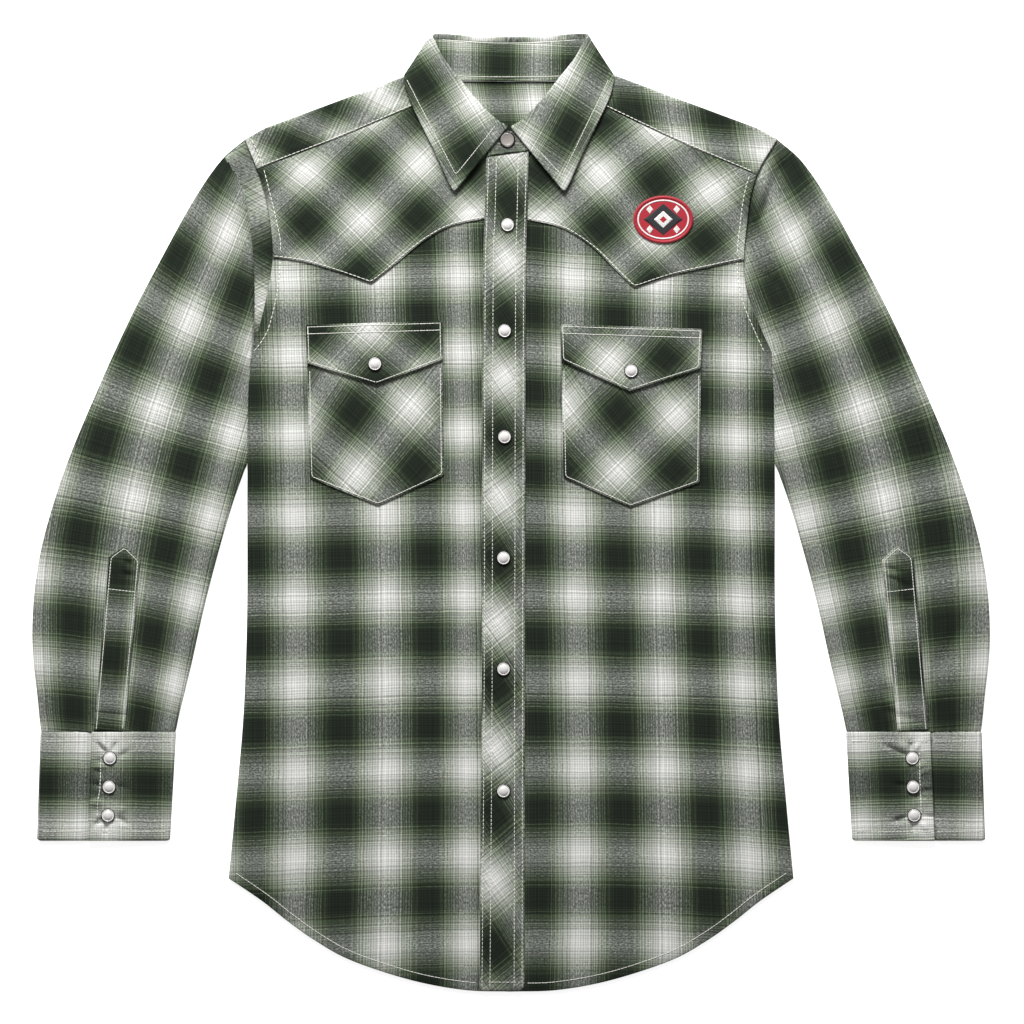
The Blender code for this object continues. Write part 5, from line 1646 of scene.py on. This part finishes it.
# %% Stitch lines of the pockets
for side in SIDES:
    pocket = patch_line(POCKET[side])
    first, last = (pocket[k] * 0.72 + pocket[n] * 0.28 for k, n in ((0, 1), (-1, -2)))
    sew("pockets", on_cloth(inset(np.array([first, *pocket[1:-1], last]), EDGE_ROW), 1, 0.12))
    relief = one_side(flap_height, side, 0.02)
    sew("pockets", on_cloth(trim(inset(patch_line(FLAP[side]), EDGE_ROW), 1.5, 1.5), 2, relief))
    top = np.array(FLAP[side]["top"])
    for drop in (EDGE_ROW, TOP_ROW):
        sew("pockets", on_cloth(trim(top - (0, drop), 1.0, 1.0), 2, relief))
    for end, way in zip(top, (1.6, -1.6)):
        sew("pockets", on_cloth(end + np.array([(way, -1.5), (way, -8.0)]), 2, relief))
print("pockets:", len(SEWING["pockets"]), "lines")

# %% [markdown]
# ## Where sleeves and cuffs are sewn
# Each sleeve placket has a row round it and one across. A cuff has a row along its top, one along
# its edge and one down the lap. Its lines are dropped on its own grid, because it goes round.

# %% Stitch lines of sleeves and cuffs
for side in SIDES:
    turn = 1 if side == "right" else -1
    sew("sleeves", on_cloth(trim(inset(tower_outline(side), -1.7 * turn), 2.0, 2.0), 1, 0.05))
    rows = mirrored(np.array(TOWER).reshape(-1, 2, 2), side)
    cross = rows[2] * 0.86 + rows[3] * 0.14
    cross[:, 0] += (turn * 1.5, -turn * 1.5)
    sew("sleeves", on_cloth(cross, 1, 0.1))
    grid = next(middle for piece, middle, *_ in PIECES if piece.name == f"cuff_band_{side}")
    for y in (CUFF_TOP_Y - CUFF_ROW, CUFF_HEM_Y + CUFF_ROW):
        inner, outer = cuff_across((y - CUFF_TOP_Y) / (CUFF_HEM_Y - CUFF_TOP_Y))
        for first, last, low in ((0.035, 0.3, 1.6), (0.3, 0.6, 3.4), (0.645, 0.965, 1.6)):
            run = np.array([(inner + part * (outer - inner), y) for part in np.linspace(first, last, 24)])
            sew("cuffs", drop_on(mirrored(run, side), grid, FUSED, low))
    sew("cuffs", drop_on(resample(np.array(LAP_STITCH[side]), even(40)), grid, FUSED, 3.6))
print("sleeves:", len(SEWING["sleeves"]), "lines, cuffs:", len(SEWING["cuffs"]))

# %% [markdown]
# ## Where the collar is sewn
# The wings are stitched along their edges, and the stand has two rows that show inside the neck.

# %% Stitch lines of the collar
for side in SIDES:
    line = trim(np.array(WING_STITCH[side]), 0.5, 0.5)
    sew("collar", drop_on(line, LEAF_GRID[FRONT_ROWS[side]], FUSED))
stand = STAND_GRID[(np.abs(STAND_GRID[:, 0, 0] - COLLAR_X) < 58) & (STAND_GRID[:, 0, 1] > 395)]
for column in (2, -5):
    sew("collar", stand[:, column] + (0, 0, FUSED / 2 + 0.02))
print("collar:", len(SEWING["collar"]), "lines")

# %% [markdown]
# ## The threads
# All rows of one kind become one piece of thread, which rides on the shirt like any trim.

# %% Threads as pieces
for k, (name, paths) in enumerate(SEWING.items()):
    points, faces = stitches(paths, *ROWS_OF[name], k + 5)
    thread = add_mesh(f"stitching_{name}", points, faces, [THREAD])
    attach(thread, "root")
    print(f"stitching_{name}: {len(faces) // 14} stitches")

# %% [markdown]
# ## Pearl snaps
# A western snap has a domed cap of pearly plastic crimped into a thin metal ring. The cap is turned:
# one profile of radius and height swept round the axis. Pearl is white plastic with fine plates in
# it that reflect in soft clouds, so it gets a clear coat and a faint cloudy tint. The snap at the
# neck has the same pearl made darker and greyer, as painted shade for the collar's shadow over it.
# The metal rings are given a very dark colour: partly dark plating, partly painted shade for the thin
# shadow round the foot of each cap.

# %% Pearl and metal
def pearl(name, light, shade):
    finish, tree, shader = new_finish(name)
    cloudy = blended(tree, own_noise(tree, 260.0, Distortion=1.2), linear(shade), linear(light))
    fill(tree, shader, {
        "Base Color": cloudy, "Roughness": 0.3, "Coat Weight": 0.5, "Coat Roughness": 0.12,
    })
    return finish


def plated(name, colour):
    finish, tree, shader = new_finish(name)
    worn = spread(tree, own_noise(tree, 700.0), 0.25, 0.45)
    fill(tree, shader, {"Base Color": linear(colour), "Roughness": worn, "Metallic": 1.0})
    return finish


# Both ring colours are very dark: partly dark plated metal, partly painted shade for the thin shadow round
# the foot of each cap.
NICKEL_AND_SHADE, GUNMETAL_AND_SHADE = plated("nickel_plated_steel_and_painted_shade", "474644"), plated("gunmetal_plated_steel_and_painted_shade", "454342")
PEARL = pearl("white_pearl_plastic", "eeecea", "d2cfcc")
# The neck snap's pearl is the white pearl made darker and greyer: painted shade for the collar's shadow over
# it.
PEARL_IN_SHADE = pearl("pearl_plastic_painted_shade", "a29c98", "817b77")
CAP = (  # radius, height: a thin metal ring, then a lip round a dome
    (0.0, 0.0), (5.6, 0.0), (6.0, 0.2), (6.1, 0.5), (6.0, 0.8), (5.8, 0.9), (5.6, 0.8), (5.45, 0.6),
    (5.38, 1.2), (5.25, 1.5), (5.0, 1.6), (4.75, 1.4), (4.5, 1.15), (4.2, 1.4), (3.4, 2.0), (2.4, 2.45),
    (1.2, 2.7), (0.0, 2.78),
)
NECK_CAP = (  # a wider ring and a flat cap
    (0.0, 0.0), (6.4, 0.0), (6.75, 0.3), (6.85, 0.8), (6.7, 1.2), (6.35, 1.35), (6.0, 1.2), (5.8, 1.0),
    (5.72, 1.3), (5.5, 1.5), (5.1, 1.45), (4.4, 1.15), (3.0, 0.85), (1.5, 0.72), (0.0, 0.7),
)
METAL_RINGS = 8
print("snaps of", PEARL.name, "and", PEARL_IN_SHADE.name, "in", NICKEL_AND_SHADE.name, "and", GUNMETAL_AND_SHADE.name)

# %% [markdown]
# ## Turning the caps
# Each cap is swept from its profile and seated on the cloth under it. The real one is stamped from
# sheet metal and moulded plastic, both of them round, so turning gives the same form.

# %% Snaps
def turned(name, centre, seat, profile, finishes, metal_rings=1, sides=36, reach=(1.0, 1.0)):
    """A profile of radius and height swept round an upright axis. Its two poles are single points.
    Reach stretches the round to an oval."""
    angles = np.arange(sides) * 2 * math.pi / sides
    rings = np.array(profile[1:-1])
    xy = rings[:, 0, None, None] * (np.stack([np.cos(angles), np.sin(angles)], axis=1) * reach)
    z = np.broadcast_to(rings[:, 1, None, None], xy.shape[:2] + (1,))
    points = np.concatenate([xy, z], axis=-1).reshape(-1, 3)
    points = np.vstack([points, (0, 0, profile[0][1]), (0, 0, profile[-1][1])]) + (*centre, seat)
    k = np.arange(sides)
    n = (k + 1) % sides
    last, bottom = (len(rings) - 1) * sides, len(rings) * sides
    faces = []
    for low in range(0, last, sides):
        faces += np.stack([low + k, low + n, low + sides + n, low + sides + k], axis=1).tolist()
    faces += np.stack([n, k, np.full(sides, bottom)], axis=1).tolist()
    faces += np.stack([last + k, last + n, np.full(sides, bottom + 1)], axis=1).tolist()
    which = np.repeat([0] * (metal_rings - 1) + [1] * (len(rings) - metal_rings) + [0, 1], sides)
    return add_mesh(name, points, faces, finishes, which=np.minimum(which, len(finishes) - 1))


def snap(name, node_name, x, y, seat, finish=PEARL, profile=CAP, ring=NICKEL_AND_SHADE):
    cap = turned(name, (x, y), seat, profile, [ring, finish], METAL_RINGS)
    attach(cap, "root")
    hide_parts(node_name)


for k, (x, y) in enumerate(PLACKET_SNAPS):
    seat = float(lift(x, y) + STEP * placket_layer(y) + STEP) - 0.25
    snap(f"pearl_placket_{k + 1}", f"snap_placket_{k + 1}", x, y, seat)
# The neck snap takes the darker pearl and ring, painted shade for the collar's shadow.
snap("pearl_neck", "snap_stand", -3.2, 320.0, COLLAR_FRONT["left"][-1][0] + STAND_RADIUS + FUSED / 2 + 0.05,
     PEARL_IN_SHADE, NECK_CAP, GUNMETAL_AND_SHADE)
for side in SIDES:
    x, y = FLAP[side]["snap"]
    snap(f"pearl_flap_{side}", f"snap_flap_{side}", x, y, float(lift(x, y)) + 3 * STEP + 0.25)
    for k, (x, y) in enumerate(CUFF_SNAPS):
        x, y = mirrored((x, y), side)
        snap(f"pearl_cuff_{side}_{k + 1}", f"snap_cuff_{side}_{k + 1}", x, y, CUFF_ROUTE[0][1] + FUSED / 2)
print("snaps:", len(PLACKET_SNAPS) + 1 + 2 * (1 + len(CUFF_SNAPS)))

# %% [markdown]
# ## Woven badge
# An oval patch with a thick overlocked edge is sewn to the left yoke. Its ground is red, its
# edge and lozenges are satin stitch: threads laid side by side, which shows as fine ribs. The ribs
# are modelled, because they catch the light one by one.

# %% Badge
BADGE, BADGE_HALF = (130.8, 251.4), (25.8, 20.6)
BADGE_SEAT = float(lift(*BADGE)) + 2 * STEP - 0.1


def floss(name, colour, rough=0.55):
    return toned(name, colour, 1400.0, 0.8, 1.15, {"Roughness": rough, "Sheen Weight": 0.1})


RED, WHITE = floss("red_rayon_floss", "a81c2c"), floss("white_rayon_floss", "e8e6e4")
BLACK = floss("black_polyester_twill", "26262a", 0.8)
GROUND = (  # the ground's profile: part of its half width, height
    (0.0, 0.0), (1.0, 0.0), (1.0, 0.8), (0.95, 0.9), (0.75, 0.95), (0.5, 0.98), (0.25, 1.0), (0.0, 1.0),
)


def ribbed_ring(name, half, width, height, base, ribs, finish, slant=0.6):
    """A raised ring of satin stitch round an oval: a half-round section whose height ripples with
    the angle, once for each thread, slanted across the width."""
    a = (np.arange(ribs * 4) * 2 * math.pi / (ribs * 4))[:, None]
    section = np.radians(np.linspace(0, 180, 7))
    across = -np.cos(section) * width / 2
    lobe = 1 + 0.16 * np.cos(ribs * (a + slant * across / half[0]))
    z = base + height * np.sin(section) * lobe
    z[:, [0, -1]] = base
    ring = np.stack([(half[0] + across) * np.cos(a), (half[1] + across) * np.sin(a), z], axis=-1)
    index = np.arange(z.size).reshape(z.shape)
    index = np.vstack([index, index[:1]])
    under = np.stack([index[:-1, 0], index[1:, 0], index[1:, -1], index[:-1, -1]], axis=-1)
    faces = np.concatenate([corners_of(index).reshape(-1, 4), under])[:, ::-1]
    return add_mesh(name, ring.reshape(-1, 3) + (*BADGE, BADGE_SEAT), faces, [finish])


def lozenge(name, x, y, wide, tall, finish, ribs, base, height):
    """A diamond of satin stitch: threads across it, each a low round ridge, longest in the middle."""
    t = np.linspace(-1, 1, ribs * 4 + 1)
    s = np.linspace(-1, 1, 9)
    reach = (1 - np.abs(t))[:, None] * wide
    px = x + s[None] * reach
    py = y + np.broadcast_to(t[:, None] * tall, px.shape)
    swell = np.sqrt(np.clip(1 - s[None] ** 4, 0, 1)) * (0.75 + 0.25 * np.cos(t[:, None] * ribs * 2 * math.pi))
    pz = base + height * swell * smooth((1 - np.abs(t))[:, None] / 0.15)
    top = np.stack([px, py, pz], axis=-1) + (*BADGE, BADGE_SEAT)
    top[[0, -1]] = top[[0, -1], 4:5]
    low = top.copy()
    low[..., 2] = BADGE_SEAT + 0.85
    index = np.arange(top[..., 0].size).reshape(top.shape[:2])
    quads = corners_of(index).reshape(-1, 4)
    border = np.r_[index[0, :-1], index[:-1, -1], index[-1, :0:-1], index[:0:-1, 0]]
    after = np.roll(border, -1)
    rim = np.stack([border, border + index.size, after + index.size, after], axis=-1)
    points = np.concatenate([top.reshape(-1, 3), low.reshape(-1, 3)])
    return add_mesh(name, points, np.concatenate([quads, (quads + index.size)[:, ::-1], rim]), [finish])


BADGE_PARTS = [
    turned("badge_ground", BADGE, BADGE_SEAT, GROUND, [RED], sides=96, reach=np.array(BADGE_HALF) * 0.97),
    ribbed_ring("badge_edge", (BADGE_HALF[0] - 1.4, BADGE_HALF[1] - 1.4), 2.8, 1.1, 0.5, 130, RED),
    ribbed_ring("badge_inner_line", (BADGE_HALF[0] - 4.2, BADGE_HALF[1] - 4.2), 1.4, 0.5, 0.9, 130, WHITE),
    lozenge("badge_lozenge_wide", 0, 0, 17.0, 13.6, BLACK, 34, 0.96, 0.3),
    lozenge("badge_lozenge_middle", 0, 0, 8.4, 7.4, WHITE, 20, 1.15, 0.45),
    lozenge("badge_lozenge_heart", 0, 0, 3.2, 3.0, RED, 9, 1.5, 0.3),
] + [
    lozenge(f"badge_lozenge_{k + 1}", x, y, 3.0, 3.6, WHITE, 10, 0.96, 0.45)
    for k, (x, y) in enumerate(((-11.6, 8.6), (11.6, 8.6), (-11.6, -8.6), (11.6, -8.6)))
]
for piece in BADGE_PARTS:
    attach(piece, "root")
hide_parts("badge")
print("badge:", len(BADGE_PARTS), "parts")

# %% [markdown]
# ## Every panel on its body
# The shirt has no joints, so every panel rides on one body, and the imported solid it stands for is hidden.

# %% Pieces ride and replace
for piece, middle, around, node_name, slot_name, rests in PIECES:
    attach(piece, "root")
    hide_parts(node_name)


# %% [markdown]
# ## Table, light and camera
# A white table, an even sky of light and one large soft lamp from the top of the picture, as over a
# shirt photographed for a catalogue. The lamp is low enough for folds and flaps to throw a short
# shadow towards the hem. The camera looks straight down through a long lens.

# %% Stage
FLOOR_HALF, FLOOR_Z = 6000.0, -0.3


def stage():
    table = toned("white_table", "ffffff", 3.0, 0.93, 0.95,
                  {"Roughness": 0.9, "Specular IOR Level": 0.0, "Emission Color": (1, 1, 1, 1)})
    tree = table.node_tree
    seen = node(tree, "LightPath", {}).outputs["Is Camera Ray"]
    glow = calculate(tree, "MULTIPLY", seen, 0.75)
    fill(tree, tree.nodes["Principled BSDF"], {"Emission Strength": glow})
    corners = [(x * FLOOR_HALF, y * FLOOR_HALF, FLOOR_Z) for x, y in ((-1, -1), (1, -1), (1, 1), (-1, 1))]
    add_mesh("floor", corners, [(0, 1, 2, 3)], [table])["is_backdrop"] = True


def light():
    world = bpy.data.worlds.new("studio")
    world.use_nodes = True
    fill(world.node_tree, world.node_tree.nodes["Background"], {0: (1.0, 1.0, 1.0, 1.0), 1: 0.25})
    bpy.context.scene.world = world
    lamp = bpy.data.lights.new("softbox", "AREA")
    lamp.shape, lamp.size, lamp.size_y, lamp.energy = "RECTANGLE", 1.2, 0.8, 118.0
    softbox = bpy.data.objects.new("softbox", lamp)
    softbox.location = (-0.35, 2.25, 1.5)
    softbox.rotation_mode = "QUATERNION"
    softbox.rotation_quaternion = softbox.location.to_track_quat("Z", "Y")
    bpy.context.scene.collection.objects.link(softbox)


def camera():
    """Straight down. The frame is 880.6 mm wide at the cloth, as distance is width times lens over sensor."""
    data = bpy.data.cameras.new("above")
    data.lens, data.sensor_width, wide = 250.0, 36.0, 0.8806
    data.clip_start, data.clip_end = 0.5, 40.0
    view = bpy.data.objects.new("above", data)
    view.location = (0.0008, 0.0, wide * data.lens / data.sensor_width + 0.004)
    bpy.context.scene.collection.objects.link(view)
    bpy.context.scene.camera = view


stage()
light()
camera()
bpy.context.scene.view_settings.view_transform = "Standard"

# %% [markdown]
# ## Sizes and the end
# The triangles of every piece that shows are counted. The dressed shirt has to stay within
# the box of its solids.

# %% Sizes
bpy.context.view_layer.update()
total = sum(len(p.vertices) - 2 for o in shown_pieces() if o.type == "MESH" for p in o.data.polygons)
print("triangles in all:", total)
